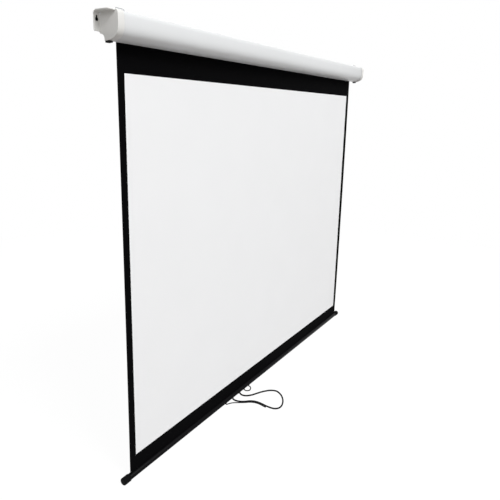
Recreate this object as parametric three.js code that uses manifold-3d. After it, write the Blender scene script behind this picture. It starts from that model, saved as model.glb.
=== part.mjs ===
// Pull down projector screen, 72 inch 4:3, with a spring roller in a 65 mm wall case.
// Millimetres. +X is to the right for someone facing the screen, +Y goes into the wall, +Z is up.
// The origin lies on the wall, half way along the case, level with the round holes of the keyholes.

import * as THREE from 'three';
import { mergeVertices } from 'three/addons/utils/BufferGeometryUtils.js';
import Module from 'manifold-3d';

const wasm = await Module();
wasm.setup();

// Clearances and tessellation
const gap = 0.3;
const cutOverrun = 5;
const weldDistance = 0.0005;
const roundSteps = 32;
const smallRoundSteps = 16;
const curveSteps = 9;
const quarterTurn = Math.PI / 2;
const halfTurn = Math.PI;
const fullTurn = Math.PI * 2;

// Cloth
const viewWidth = 1463;
const viewHeight = 1092;
const sideBorder = 25;
const blackDrop = 70;
const bottomBorder = 49.5;
const clothThickness = 0.4;
const clothToWall = 11.6;
const hemHeight = 36;
const clothWidth = viewWidth + sideBorder + sideBorder;

// Case section
const caseEndRoom = 38.5;
const caseLength = clothWidth + caseEndRoom + caseEndRoom;
const caseDepth = 65;
const caseHeight = 65;
const caseWall = 1.4;
const backCornerRadius = 5;
const frontTopFlat = 58.4;
const frontBulgeDrop = 24;
const lipToWall = 18.8;
const notchRadius = 12.6;
const notchToWall = 6;
const notchDrop = 62.5;
const backLegDrop = 44;
const backLegRun = 5.6;
const slotWidth = 7.2;

// End caps
const endWall = 3;
const skirtWall = 1.2;
const skirtLength = 20;
const earWidth = 18;
const earHeight = 45.5;
const earWall = 1.5;
const earCorner = 4;
const earTopCorner = 6;
const flangeWidth = 20;
const flangeWall = 3;
const flangeDepth = 57;
const flangeCorner = 7;
const flangeBackCorner = 14;
const padWall = 3;
const padMargin = 1;
const padOuterMargin = 3.8;
const keyholeDrop = 18.5;
const keyholeRadius = 4.6;
const keyholeOut = 8.6;
const keySlotRadius = 2.4;
const keySlotRise = 9.4;
const portRadius = 3.6;
const portDrop = 4.6;
const portDepth = 8;
const capScrewRadius = 1.5;
const capScrewLength = 15;
const capScrewHeadRadius = 2.6;
const capScrewHeadHeight = 1.5;
const bossRadius = 4;
const bossLength = 8;
const bossSpread = 21;
const bossRise = 17;
const bumperWidth = 14;
const bumperRun = 13;
const bumperHeight = 3.5;
const bumperInset = 1.5;

// Hanging loops on top of the case
const loopWidth = 36;
const loopHeight = 12;
const loopTopCorner = 10;
const loopFootCorner = 3.5;
const loopWireRadius = 1;
const loopWireSides = 10;
const loopWireSteps = 48;
const loopButt = 0.6;
const loopToWall = 30;
const clipWidth = 16;
const clipDepth = 14;
const clipWall = 1;
const clipFloor = 0.5;
const rivetRadius = 1.6;
const rivetHeight = 0.5;
const rivetSpread = 4.8;

// Bearing plates and their screws
const plateWall = 2;
const plateHalfDepth = 27;
const plateRise = 25;
const plateFall = 18;
const plateCorner = 8;
const screwRadius = 1.6;
const screwLength = 9;
const screwHeadRadius = 3;
const screwHeadHeight = 1.8;
const screwSlotWidth = 0.9;
const screwSlotDepth = 0.7;

// Roller
const tubeRadius = 19;
const tubeWall = 0.8;
const rollWall = 1.2;
const rollerDrop = 30;
const rollerEndRun = 9.4;
const plugFlangeWall = 2.4;
const plugFlangeRadius = 19.6;
const plugLength = 30;

// Spring rod, ratchet and pawls at the left end
const rodRadius = 4;
const rodLength = 330;
const spearThickness = 3;
const spearLength = 8;
const pawlPivotShare = 0.7;
const pawlPivotRadius = rodRadius + (tubeRadius - rodRadius) * pawlPivotShare;
const pawlNoseShare = 0.36;
const pawlNoseDrop = (tubeRadius - rodRadius) * pawlNoseShare;
const pawlClearance = 0.1;
const ratchetRadius = pawlPivotRadius - pawlNoseDrop - pawlClearance;
const ratchetWall = 3.6;
const ratchetNotchShare = 0.48;
const ratchetNotchDepth = (ratchetRadius - rodRadius) * ratchetNotchShare;
const ratchetNotchAngle = THREE.MathUtils.degToRad(51);
const ratchetNotchHalfAngle = THREE.MathUtils.degToRad(17);
const pawlEyeRadius = 3.1;
const pawlReach = 8;
const pawlNoseRadius = 0.9;
const pawlArmHalf = 1.5;
const pawlPinRadius = 1.5;
const pawlPinLength = 13;
const anchorRadius = 14;
const anchorLength = 12;
const centreBearingLength = 9;
const springRadius = 11;
const springWireRadius = 1;
const springCurls = 24;
const springStepsPerCurl = 8;
const springSides = 5;

// Idle end at the right
const idlePinRadius = 4;
const idlePinLength = 42;
const bushRadius = 7;
const bushFlangeRadius = 9.5;
const bushFlangeWall = 1.6;

// Bottom bar
const barRadius = 9.5;
const barWall = 1.4;
const barSlot = 2.6;
const barOverhang = 26.5;
const barLength = clothWidth + barOverhang + barOverhang;
const barGrooveRadius = 0.8;
const barCapRadius = 11.3;
const barCapLength = 24;
const barCapEndWall = 3;
const barCapRound = 3;
const battenWidth = 12;
const battenThickness = 2.2;
const parkGap = 0.6;

// Pull cord
const cordRadius = 3;
const sideCordRadius = 1.9;
const shortCordRadius = 2.1;
const cordSides = 8;
const eyeletFlangeRadius = 4.6;
const eyeletFlangeWall = 1;
const eyeletShankRadius = 2.65;
const eyeletShankLength = 2.4;
const eyeletHoleRadius = 3.1;
const knotRadius = 2.9;
const knotLength = 7;
const cordStep = 7.5;
const cordLead = 2;
const cordMostSteps = 80;

// Places worked out from the sizes above
const caseTop = keyholeDrop;
const barDrop = caseHeight + blackDrop + viewHeight + bottomBorder + barRadius;
const barZ = caseTop - barDrop;
const rollRadius = tubeRadius + rollWall;
const rollerY = -(clothToWall + clothThickness / 2 + gap + rollRadius);
const rollerZ = caseTop - rollerDrop;
const capWallInner = caseLength / 2 + gap;
const endFace = capWallInner + endWall;
const plateOuter = capWallInner - bossLength - gap;
const plateInner = plateOuter - plateWall;
const tubeEnd = plateInner - rollerEndRun;
const floorZ = barZ - barCapRadius;
const battenTop = barZ + Math.sqrt((barRadius - barWall - gap) ** 2 - (battenWidth / 2) ** 2);
const loopX = endFace - skirtLength - gap - loopWidth / 2;
const loopAxisZ = caseTop + gap + clipFloor + loopWireRadius + gap;

// Materials
const paint = (color, roughness, metalness = 0) =>
  new THREE.MeshStandardMaterial({ color, roughness, metalness });
const whiteEnamel = paint('#ebecec', 0.35, 0.1);
const lightPlastic = paint('#e6e6e3', 0.5);
const blackRubber = paint('#141415', 0.85);
const galvanisedSteel = paint('#a9adb1', 0.4, 0.9);
const brightSteel = paint('#c4c7ca', 0.3, 1);
const whitePvc = paint('#f4f5f7', 0.9);
const blackPvc = paint('#0c0c0d', 0.8);
const blackEnamel = paint('#121214', 0.4, 0.1);
const blackPlastic = paint('#0e0e10', 0.45);
const nylon = paint('#e6e1d2', 0.6);
const darkPlastic = paint('#3a3d42', 0.55);
const blackCord = paint('#101012', 0.8);

// Closed mesh to a solid for cutting and joining, with the vertices merged by position
function solidOf(geometry) {
  const bare = geometry.clone();
  bare.deleteAttribute('normal');
  bare.deleteAttribute('uv');
  const welded = mergeVertices(bare, weldDistance);
  const index = welded.index.array;
  const kept = [];
  for (let i = 0; i < index.length; i += 3) {
    const [a, b, c] = [index[i], index[i + 1], index[i + 2]];
    if (a !== b && b !== c && c !== a) kept.push(a, b, c);
  }
  return new wasm.Manifold(new wasm.Mesh({
    numProp: 3,
    vertProperties: new Float32Array(welded.getAttribute('position').array),
    triVerts: new Uint32Array(kept),
  }));
}

// Solid back to a mesh with flat faces
function geometryOf(solid) {
  const { vertProperties, triVerts } = solid.getMesh();
  const geometry = new THREE.BufferGeometry();
  geometry.setAttribute('position', new THREE.BufferAttribute(new Float32Array(vertProperties), 3));
  geometry.setIndex(new THREE.BufferAttribute(new Uint32Array(triVerts), 1));
  const flat = geometry.toNonIndexed();
  flat.computeVertexNormals();
  return flat;
}

// A solid drawn for the right end, turned into the one for the side asked for (1 right, -1 left)
const forSide = (solid, side) => (side < 0 ? solid.mirror([1, 0, 0]) : solid);

// Outline in Y and Z carried along X, from xStart to xEnd
function alongX(shape, xStart, xEnd) {
  const geometry = new THREE.ExtrudeGeometry(shape, {
    depth: xEnd - xStart, bevelEnabled: false, curveSegments: curveSteps,
  });
  const turn = new THREE.Matrix4().makeBasis(
    new THREE.Vector3(0, 1, 0), new THREE.Vector3(0, 0, 1), new THREE.Vector3(1, 0, 0));
  return geometry.applyMatrix4(turn).translate(xStart, 0, 0);
}

// Outline in X and Z carried towards the room, from the wall side yBack to yFront
function alongY(shape, yBack, yFront) {
  const geometry = new THREE.ExtrudeGeometry(shape, {
    depth: yBack - yFront, bevelEnabled: false, curveSegments: curveSteps,
  });
  const turn = new THREE.Matrix4().makeBasis(
    new THREE.Vector3(1, 0, 0), new THREE.Vector3(0, 0, 1), new THREE.Vector3(0, -1, 0));
  return geometry.applyMatrix4(turn).translate(0, yBack, 0);
}

// Outline in X and Y carried up, from zLow to zHigh
function alongZ(shape, zLow, zHigh) {
  return new THREE.ExtrudeGeometry(shape, {
    depth: zHigh - zLow, bevelEnabled: false, curveSegments: curveSteps,
  }).translate(0, 0, zLow);
}

// Profile of radius and distance along X, turned about a line through (y, z)
function turnedAboutX(profile, y, z, steps = roundSteps) {
  const points = profile.map(([x, radius]) => new THREE.Vector2(radius, x));
  return new THREE.LatheGeometry(points, steps).rotateZ(-quarterTurn).translate(0, y, z);
}

// Ring or, with no bore, a disc, from xStart to xEnd about a line through (y, z)
function ring(xStart, xEnd, outer, bore, y, z, steps = roundSteps) {
  const profile = [[xStart, bore], [xStart, outer], [xEnd, outer], [xEnd, bore]];
  if (bore > 0) profile.push([xStart, bore]);
  return turnedAboutX(profile, y, z, steps);
}

function rectangle(xLow, xHigh, yLow, yHigh) {
  const shape = new THREE.Shape();
  shape.moveTo(xLow, yLow).lineTo(xHigh, yLow).lineTo(xHigh, yHigh).lineTo(xLow, yHigh);
  return shape.closePath();
}

// Rectangle whose corners are rounded by the radii given for low-low, high-low, high-high, low-high
function roundedRectangle(xLow, xHigh, yLow, yHigh, [ll, hl, hh, lh]) {
  const shape = new THREE.Shape();
  shape.moveTo(xLow + ll, yLow).lineTo(xHigh - hl, yLow);
  if (hl > 0) shape.absarc(xHigh - hl, yLow + hl, hl, -quarterTurn, 0);
  shape.lineTo(xHigh, yHigh - hh);
  if (hh > 0) shape.absarc(xHigh - hh, yHigh - hh, hh, 0, quarterTurn);
  shape.lineTo(xLow + lh, yHigh);
  if (lh > 0) shape.absarc(xLow + lh, yHigh - lh, lh, quarterTurn, halfTurn);
  shape.lineTo(xLow, yLow + ll);
  if (ll > 0) shape.absarc(xLow + ll, yLow + ll, ll, halfTurn, halfTurn + quarterTurn);
  return shape;
}

// Drops points that lie closer together than the merge distance
const withoutRepeats = (points) =>
  points.filter((p, i) => i === 0 || p.distanceTo(points[i - 1]) > weldDistance);

// Open line of points moved sideways to its right by distance, with mitred corners
function movedSideways(points, distance) {
  return points.map((point, i) => {
    const before = points[Math.max(i - 1, 0)];
    const after = points[Math.min(i + 1, points.length - 1)];
    const inward = point.clone().sub(before).normalize();
    const outward = after.clone().sub(point).normalize();
    const first = i === 0 ? outward : inward;
    const last = i === points.length - 1 ? inward : outward;
    const mean = first.clone().add(last).normalize();
    const stretch = distance / Math.max(mean.dot(first), Math.cos(quarterTurn / 1.5));
    return new THREE.Vector2(point.x + mean.y * stretch, point.y - mean.x * stretch);
  });
}

// The case's outer line in Y and Z from the top back corner over the front down to the lip
function frontLine() {
  const path = new THREE.Path();
  const bulgeZ = caseTop - frontBulgeDrop;
  const topHandleShare = 0.8;
  const bulgeHandleShare = 0.75;
  const lowHandleShare = 0.62;
  const lipHandleShare = 0.85;
  path.moveTo(-backCornerRadius, caseTop).lineTo(-frontTopFlat, caseTop);
  path.bezierCurveTo(
    -frontTopFlat - (caseDepth - frontTopFlat) * topHandleShare, caseTop,
    -caseDepth, bulgeZ + frontBulgeDrop * bulgeHandleShare,
    -caseDepth, bulgeZ);
  path.bezierCurveTo(
    -caseDepth, bulgeZ - (caseHeight - frontBulgeDrop) * lowHandleShare,
    -lipToWall - (caseDepth - lipToWall) * lipHandleShare, caseTop - caseHeight + backCornerRadius / 2,
    -lipToWall, caseTop - caseHeight);
  return path.getPoints(curveSteps);
}

// Height of the notch's round roof at a distance from the wall
const notchRoof = (toWall) =>
  caseTop - notchDrop + Math.sqrt(notchRadius ** 2 - (toWall - notchToWall) ** 2);

// The notch's round roof between two distances from the wall
function notchLine(fromWallStart, fromWallEnd) {
  const centre = new THREE.Vector2(-notchToWall, caseTop - notchDrop);
  const angleAt = (toWall) => Math.acos(Math.max(-1, (notchToWall - toWall) / notchRadius));
  const [start, end] = [angleAt(fromWallStart), angleAt(fromWallEnd)];
  return Array.from({ length: curveSteps + 1 }, (unused, i) => {
    const angle = start + (end - start) * (i / curveSteps);
    return new THREE.Vector2(
      centre.x + notchRadius * Math.cos(angle), centre.y + notchRadius * Math.sin(angle));
  });
}

// The whole outer line of the case, from the slot's back edge round to its front edge
function caseLine() {
  const slotBack = clothToWall - slotWidth / 2;
  const slotFront = clothToWall + slotWidth / 2;
  const corner = new THREE.Path();
  corner.absarc(-backCornerRadius, caseTop - backCornerRadius, backCornerRadius, 0, quarterTurn);
  return withoutRepeats([
    new THREE.Vector2(-slotBack, notchRoof(slotBack)),
    new THREE.Vector2(-backLegRun, notchRoof(backLegRun)),
    new THREE.Vector2(0, caseTop - backLegDrop),
    ...corner.getPoints(curveSteps / 2),
    ...frontLine(),
    ...notchLine(notchToWall + notchRadius, slotFront),
  ]);
}

// Extruded case: a wall of one thickness round the line, open at the slot for the cloth, and a
// round port under its top, near the back, that takes the end caps' screws
function caseShell() {
  const outer = caseLine();
  const inner = movedSideways(outer, -caseWall);
  const half = caseLength / 2;
  const shell = solidOf(alongX(new THREE.Shape([...outer, ...inner.reverse()]), -half, half));
  const port = ring(-half, half, portRadius, 0, -portDepth, caseTop - portDrop, smallRoundSteps);
  return geometryOf(shell.add(solidOf(port)).subtract(portHole(-half - cutOverrun, half + cutOverrun)));
}

// End cap: side wall, skirt over the case, wall ear with keyhole, ceiling flange and two bosses
function endCap(side) {
  const line = frontLine();
  const proud = movedSideways(line, gap + skirtWall);
  const close = movedSideways(line, gap);
  const skirt = new THREE.Shape([...proud, ...close.reverse()]);
  const leg = new THREE.Vector2(0, caseTop - backLegDrop);
  const wallOutline = new THREE.Shape([
    new THREE.Vector2(0, caseTop + gap + skirtWall), ...proud,
    ...notchLine(notchToWall + notchRadius, backLegRun), leg,
  ]);
  const top = caseTop + gap + skirtWall;
  const ear = roundedRectangle(
    capWallInner, endFace + earWidth, caseTop - earHeight, top, [0, earCorner, earTopCorner, 0]);
  const flange = roundedRectangle(
    capWallInner, endFace + flangeWidth, -flangeDepth, -padWall - gap,
    [0, flangeCorner, flangeBackCorner, 0]);
  let cap = solidOf(alongX(wallOutline, capWallInner, endFace));
  cap = cap.add(solidOf(alongX(skirt, endFace - skirtLength, capWallInner + endWall / 2)));
  cap = cap.add(solidOf(alongY(ear, -padWall - gap, -padWall - gap - earWall)));
  cap = cap.add(solidOf(alongZ(flange, top - flangeWall, top)));
  for (const way of [-1, 1]) {
    const y = rollerY + way * bossSpread;
    const z = rollerZ + bossRise;
    cap = cap.add(solidOf(ring(
      capWallInner - bossLength, capWallInner + endWall / 2, bossRadius, 0, y, z, smallRoundSteps)));
    cap = cap.subtract(solidOf(ring(
      plateOuter - cutOverrun, capWallInner, screwRadius + gap, 0, y, z, smallRoundSteps)));
  }
  cap = cap.subtract(keyholeCut()).subtract(portHole(capWallInner - cutOverrun, endFace + cutOverrun));
  return geometryOf(forSide(cap, side));
}

// Keyhole: a round hole for the screw's head with a narrow slot above it
function keyholeCut() {
  const x = endFace + keyholeOut;
  const hole = new THREE.Shape().absarc(x, 0, keyholeRadius, 0, fullTurn);
  const slot = roundedRectangle(
    x - keySlotRadius, x + keySlotRadius, 0, keySlotRise, [0, 0, keySlotRadius, keySlotRadius]);
  return solidOf(alongY(hole, cutOverrun, -cutOverrun)).add(solidOf(alongY(slot, cutOverrun, -cutOverrun)));
}

// Hole through the side wall for the screw that holds the cap on the case
const portHole = (xStart, xEnd) => solidOf(ring(
  xStart, xEnd, capScrewRadius + gap, 0, -portDepth, caseTop - portDrop, smallRoundSteps));

// Pan-head screw through the cap into the case's screw port
function capScrew(side) {
  const head = endFace + gap;
  const tip = head - capScrewLength;
  const crown = capScrewHeadRadius - screwSlotWidth;
  const profile = [
    [tip, 0], [tip + capScrewRadius, capScrewRadius], [head, capScrewRadius], [head, capScrewHeadRadius],
    [head + capScrewHeadHeight / 2, capScrewHeadRadius], [head + capScrewHeadHeight, crown],
    [head + capScrewHeadHeight, 0],
  ];
  const z = caseTop - portDrop;
  const slot = rectangle(
    -portDepth - capScrewHeadRadius - gap, -portDepth + capScrewHeadRadius + gap,
    z - screwSlotWidth / 2, z + screwSlotWidth / 2);
  const body = solidOf(turnedAboutX(profile, -portDepth, z, smallRoundSteps));
  const cut = solidOf(alongX(slot, head + capScrewHeadHeight - screwSlotDepth, head + cutOverrun));
  return geometryOf(forSide(body.subtract(cut), side));
}

// Foam pad between the ear and the wall, cut for the same screw
function wallPad(side) {
  const outline = roundedRectangle(
    endFace + padMargin, endFace + earWidth - padOuterMargin,
    caseTop - earHeight + padMargin, caseTop - padMargin, [0, earCorner, earCorner, 0]);
  return geometryOf(forSide(solidOf(alongY(outline, 0, -padWall)).subtract(keyholeCut()), side));
}

// Rubber stop under the cap, against which the bar's end comes to rest
function bumper(side) {
  const line = frontLine().filter((p) => p.y < caseTop - frontBulgeDrop && p.x > -lipToWall - bumperRun);
  const near = movedSideways(line, gap + skirtWall + gap);
  const far = movedSideways(line, gap + skirtWall + gap + bumperHeight);
  const outline = new THREE.Shape([...near, ...far.reverse()]);
  const solid = solidOf(alongX(outline, endFace - bumperInset - bumperWidth, endFace - bumperInset));
  return geometryOf(forSide(solid, side));
}

// Wire loop that stands on the case, for hanging the screen from hooks; its ends meet in the clip
function hangingLoop(side) {
  const half = loopWidth / 2 - loopWireRadius;
  const crown = caseTop + loopHeight - loopWireRadius;
  const at = (x, z) => new THREE.Vector3(loopX + x, -loopToWall, z);
  const path = new THREE.CurvePath();
  const straight = (x, z, endX, endZ) => path.add(new THREE.LineCurve3(at(x, z), at(endX, endZ)));
  const bend = (x, z, cornerX, cornerZ, endX, endZ) =>
    path.add(new THREE.QuadraticBezierCurve3(at(x, z), at(cornerX, cornerZ), at(endX, endZ)));
  straight(loopButt / 2, loopAxisZ, half - loopFootCorner, loopAxisZ);
  bend(half - loopFootCorner, loopAxisZ, half, loopAxisZ, half, loopAxisZ + loopFootCorner);
  bend(half, loopAxisZ + loopFootCorner, half, crown, half - loopTopCorner, crown);
  straight(half - loopTopCorner, crown, loopTopCorner - half, crown);
  bend(loopTopCorner - half, crown, -half, crown, -half, loopAxisZ + loopFootCorner);
  bend(-half, loopAxisZ + loopFootCorner, -half, loopAxisZ, loopFootCorner - half, loopAxisZ);
  straight(loopFootCorner - half, loopAxisZ, -loopButt / 2, loopAxisZ);
  const wire = tubeAlong(path, loopWireRadius, loopWireSides, loopWireSteps);
  return geometryOf(forSide(solidOf(wire), side));
}

// Riveted saddle clip in whose round eye the loop's foot turns
function loopClip(side) {
  const y = -loopToWall;
  const [low, high] = [loopX - clipWidth / 2, loopX + clipWidth / 2];
  const base = rectangle(y - clipDepth / 2, y + clipDepth / 2, caseTop + gap, caseTop + gap + clipWall);
  const hump = new THREE.Shape().absarc(y, loopAxisZ, loopWireRadius + gap + clipWall, 0, fullTurn);
  const eye = new THREE.Shape().absarc(y, loopAxisZ, loopWireRadius + gap, 0, fullTurn);
  const under = rectangle(y - clipDepth, y + clipDepth, caseTop - cutOverrun, caseTop + gap);
  let clip = solidOf(alongX(base, low, high)).add(solidOf(alongX(hump, low, high)));
  for (const way of [-1, 1]) {
    const rivet = new THREE.Shape().absarc(loopX, y + way * rivetSpread, rivetRadius, 0, fullTurn);
    const foot = caseTop + gap + clipWall;
    clip = clip.add(solidOf(alongZ(rivet, foot - clipWall / 2, foot + rivetHeight)));
  }
  clip = clip.subtract(solidOf(alongX(eye, low - cutOverrun, high + cutOverrun)));
  clip = clip.subtract(solidOf(alongX(under, low - cutOverrun, high + cutOverrun)));
  return geometryOf(forSide(clip, side));
}

// Round section carried along a curve, with flat closed ends
function tubeAlong(curve, radius, sides, steps) {
  const section = new THREE.Shape(Array.from({ length: sides }, (unused, i) =>
    new THREE.Vector2(
      radius * Math.cos(i / sides * fullTurn), radius * Math.sin(i / sides * fullTurn))));
  return new THREE.ExtrudeGeometry(section, { steps, bevelEnabled: false, extrudePath: curve });
}

// Steel plate that carries one end of the roller, with a hole of the given outline
function bearingPlate(side, holePath) {
  const outline = new THREE.Shape();
  const [back, front] = [rollerY + plateHalfDepth, rollerY - plateHalfDepth];
  const [low, high] = [rollerZ - plateFall, rollerZ + plateRise];
  outline.moveTo(front + plateCorner, low).lineTo(back - plateCorner, low);
  outline.lineTo(back, low + plateCorner).lineTo(back, high - plateCorner);
  outline.lineTo(back - plateCorner, high).lineTo(front + plateCorner, high);
  outline.lineTo(front, high - plateCorner).lineTo(front, low + plateCorner).closePath();
  outline.holes.push(holePath);
  for (const way of [-1, 1]) {
    outline.holes.push(new THREE.Path().absarc(
      rollerY + way * bossSpread, rollerZ + bossRise, screwRadius + gap, 0, fullTurn));
  }
  return geometryOf(forSide(solidOf(alongX(outline, plateInner, plateOuter)), side));
}

// Hole for the flat end of the spring rod, which stops the rod from turning
function spearHole() {
  const half = rodRadius + gap;
  const thin = spearThickness / 2 + gap;
  const path = new THREE.Path();
  path.moveTo(rollerY - thin, rollerZ - half).lineTo(rollerY + thin, rollerZ - half);
  return path.lineTo(rollerY + thin, rollerZ + half).lineTo(rollerY - thin, rollerZ + half).closePath();
}

const bushHole = () => new THREE.Path().absarc(rollerY, rollerZ, bushRadius + gap, 0, fullTurn);

// Self-tapping screw with a slotted head, through the bearing plate into the cap's boss
function plateScrew(side, way) {
  const y = rollerY + way * bossSpread;
  const z = rollerZ + bossRise;
  const under = plateInner - gap;
  const top = under - screwHeadHeight;
  const tip = plateInner + screwLength;
  const profile = [
    [top, 0], [top, screwHeadRadius], [under, screwHeadRadius],
    [under, screwRadius], [tip - screwRadius, screwRadius], [tip, 0],
  ];
  const slot = rectangle(
    y - screwHeadRadius - gap, y + screwHeadRadius + gap,
    z - screwSlotWidth / 2, z + screwSlotWidth / 2);
  const body = solidOf(turnedAboutX(profile, y, z, smallRoundSteps));
  const cut = solidOf(alongX(slot, top - cutOverrun, top + screwSlotDepth));
  return geometryOf(forSide(body.subtract(cut), side));
}

// Steel tube on which the cloth is wound
const rollerTube = () => ring(-tubeEnd, tubeEnd, tubeRadius, tubeRadius - tubeWall, rollerY, rollerZ);

// Turns of cloth that stay on the tube when the screen is down
const clothRoll = () =>
  ring(-clothWidth / 2, clothWidth / 2, rollRadius, tubeRadius + gap, rollerY, rollerZ);

// Plastic plug in the tube's end; boreRadius is the hole for the rod or pin
function rollerPlug(side, boreRadius, pinHoles) {
  const inside = tubeEnd - plugLength;
  const faceInner = tubeEnd + gap;
  const faceOuter = faceInner + plugFlangeWall;
  const body = tubeRadius - tubeWall - gap;
  const profile = [
    [inside, boreRadius], [inside, body], [faceInner, body],
    [faceInner, plugFlangeRadius], [faceOuter, plugFlangeRadius], [faceOuter, boreRadius],
    [inside, boreRadius],
  ];
  let plug = solidOf(turnedAboutX(profile, rollerY, rollerZ));
  for (const { y, z } of pinHoles) {
    plug = plug.subtract(solidOf(ring(
      faceOuter + gap - pawlPinLength, faceOuter + cutOverrun, pawlPinRadius + gap, 0, y, z,
      smallRoundSteps)));
  }
  return geometryOf(forSide(plug, side));
}

// The two pawls sit opposite each other; way is 1 above the rod and -1 below it
const pawlPivot = (way) => ({ y: rollerY, z: rollerZ + way * pawlPivotRadius });

const plugFace = tubeEnd + gap + plugFlangeWall;
const pawlNear = plugFace + gap;

// Pin in the plug's face on which a pawl turns
function pawlPin(way) {
  const { y, z } = pawlPivot(way);
  const end = pawlNear + ratchetWall;
  const pin = ring(end - pawlPinLength, end, pawlPinRadius, 0, y, z, smallRoundSteps);
  return geometryOf(forSide(solidOf(pin), -1));
}

// Pawl: an eye on the pin and an arm whose nose drops into the ratchet's notch
function pawl(way) {
  const arm = new THREE.Shape();
  const noseY = pawlReach;
  const noseZ = -pawlNoseDrop;
  arm.moveTo(0, pawlArmHalf).lineTo(noseY, pawlArmHalf - pawlNoseRadius);
  arm.lineTo(noseY + pawlNoseRadius, noseZ).lineTo(noseY - pawlNoseRadius, noseZ);
  arm.lineTo(noseY - pawlNoseRadius - pawlArmHalf, -pawlArmHalf).lineTo(0, -pawlArmHalf).closePath();
  const eye = new THREE.Shape().absarc(0, 0, pawlEyeRadius, 0, fullTurn);
  const hole = new THREE.Shape().absarc(0, 0, pawlPinRadius + gap, 0, fullTurn);
  let solid = solidOf(alongX(arm, pawlNear, pawlNear + ratchetWall));
  solid = solid.add(solidOf(alongX(eye, pawlNear, pawlNear + ratchetWall)));
  solid = solid.subtract(solidOf(alongX(hole, pawlNear - cutOverrun, pawlNear + ratchetWall + cutOverrun)));
  const geometry = geometryOf(forSide(solid, -1));
  if (way < 0) geometry.rotateX(halfTurn);
  const { y, z } = pawlPivot(way);
  return geometry.translate(0, y, z);
}

// Ratchet wheel, held still on the rod, with one notch for each pawl
function ratchetWheel() {
  const wheel = new THREE.Shape().absarc(rollerY, rollerZ, ratchetRadius, 0, fullTurn);
  let solid = solidOf(alongX(wheel, pawlNear, pawlNear + ratchetWall));
  for (const start of [ratchetNotchAngle, ratchetNotchAngle + halfTurn]) {
    const at = (radius, angle) => new THREE.Vector2(
      rollerY + radius * Math.cos(angle), rollerZ + radius * Math.sin(angle));
    const outerRadius = ratchetRadius + cutOverrun;
    const innerRadius = ratchetRadius - ratchetNotchDepth;
    const notch = new THREE.Shape([
      at(innerRadius, start - ratchetNotchHalfAngle), at(outerRadius, start - ratchetNotchHalfAngle),
      at(outerRadius, start + ratchetNotchHalfAngle), at(innerRadius, start + ratchetNotchHalfAngle),
    ]);
    solid = solid.subtract(solidOf(alongX(notch, pawlNear - cutOverrun, pawlNear + ratchetWall + cutOverrun)));
  }
  const bore = new THREE.Shape().absarc(rollerY, rollerZ, rodRadius + gap, 0, fullTurn);
  solid = solid.subtract(solidOf(alongX(bore, pawlNear - cutOverrun, pawlNear + ratchetWall + cutOverrun)));
  return geometryOf(forSide(solid, -1));
}

const rodOuter = pawlNear + ratchetWall + gap;
const rodInner = rodOuter - rodLength;
const centreBearingOuter = rodInner + gap + centreBearingLength;
const anchorInner = centreBearingOuter + gap;
const anchorOuter = anchorInner + anchorLength;

// Rod through the spring, with a flat end that the left bearing plate holds
function springRod() {
  const rod = solidOf(ring(rodInner, rodOuter, rodRadius, 0, rollerY, rollerZ, smallRoundSteps));
  const spear = rectangle(
    rollerY - spearThickness / 2, rollerY + spearThickness / 2, rollerZ - rodRadius, rollerZ + rodRadius);
  const flat = solidOf(alongX(spear, rodOuter - gap, rodOuter + spearLength));
  return geometryOf(forSide(rod.add(flat), -1));
}

// Fixed collar near the rod's inner end, which holds that end of the spring
const springAnchor = () => geometryOf(forSide(solidOf(
  ring(anchorInner, anchorOuter, anchorRadius, rodRadius + gap, rollerY, rollerZ)), -1));

// Disc in the tube that runs on the rod's inner end
const centreBearing = () => geometryOf(forSide(solidOf(
  ring(rodInner + gap, centreBearingOuter, tubeRadius - tubeWall - gap, rodRadius + gap,
    rollerY, rollerZ)), -1));

// Torsion spring: straight for a wire's width, then even curls about the rod, then straight again
function torsionSpring() {
  const from = anchorOuter + gap;
  const to = tubeEnd - plugLength - gap;
  const straight = springWireRadius + springWireRadius;
  const run = to - from - straight - straight;
  const steps = springCurls * springStepsPerCurl;
  const point = (x, angle) => new THREE.Vector3(
    x, rollerY + springRadius * Math.cos(angle), rollerZ + springRadius * Math.sin(angle));
  const centres = [point(from, 0)];
  for (let i = 0; i <= steps; i += 1) {
    centres.push(point(from + straight + run * (i / steps), springCurls * fullTurn * (i / steps)));
  }
  centres.push(point(to, springCurls * fullTurn));
  console.log(`torsion spring: least gap between curls ${(run / springCurls - straight).toFixed(2)} mm`);
  return geometryOf(forSide(solidOf(tubeThrough(centres, springWireRadius, springSides)), -1));
}

// Closed tube through a list of points: one ring of corners at each point and a cap at each end
function tubeThrough(centres, radius, sides) {
  const positions = [];
  const index = [];
  const along = (i) => centres[Math.min(i + 1, centres.length - 1)].clone()
    .sub(centres[Math.max(i - 1, 0)]).normalize();
  let normal = new THREE.Vector3(0, 1, 0);
  centres.forEach((centre, i) => {
    const square = i === 0 || i === centres.length - 1;
    const direction = square ? new THREE.Vector3(1, 0, 0) : along(i);
    normal = normal.clone().addScaledVector(direction, -normal.dot(direction)).normalize();
    const side = direction.clone().cross(normal);
    for (let k = 0; k < sides; k += 1) {
      const angle = k / sides * fullTurn;
      const corner = centre.clone().addScaledVector(normal, radius * Math.cos(angle))
        .addScaledVector(side, radius * Math.sin(angle));
      positions.push(corner.x, corner.y, corner.z);
    }
  });
  for (let i = 0; i < centres.length - 1; i += 1) {
    for (let k = 0; k < sides; k += 1) {
      const [a, b] = [i * sides + k, i * sides + (k + 1) % sides];
      index.push(a, b, b + sides, a, b + sides, a + sides);
    }
  }
  const last = (centres.length - 1) * sides;
  for (let k = 1; k < sides - 1; k += 1) {
    index.push(0, k + 1, k, last, last + k, last + k + 1);
  }
  const geometry = new THREE.BufferGeometry();
  geometry.setAttribute('position', new THREE.Float32BufferAttribute(positions, 3));
  return geometry.setIndex(index);
}

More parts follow.
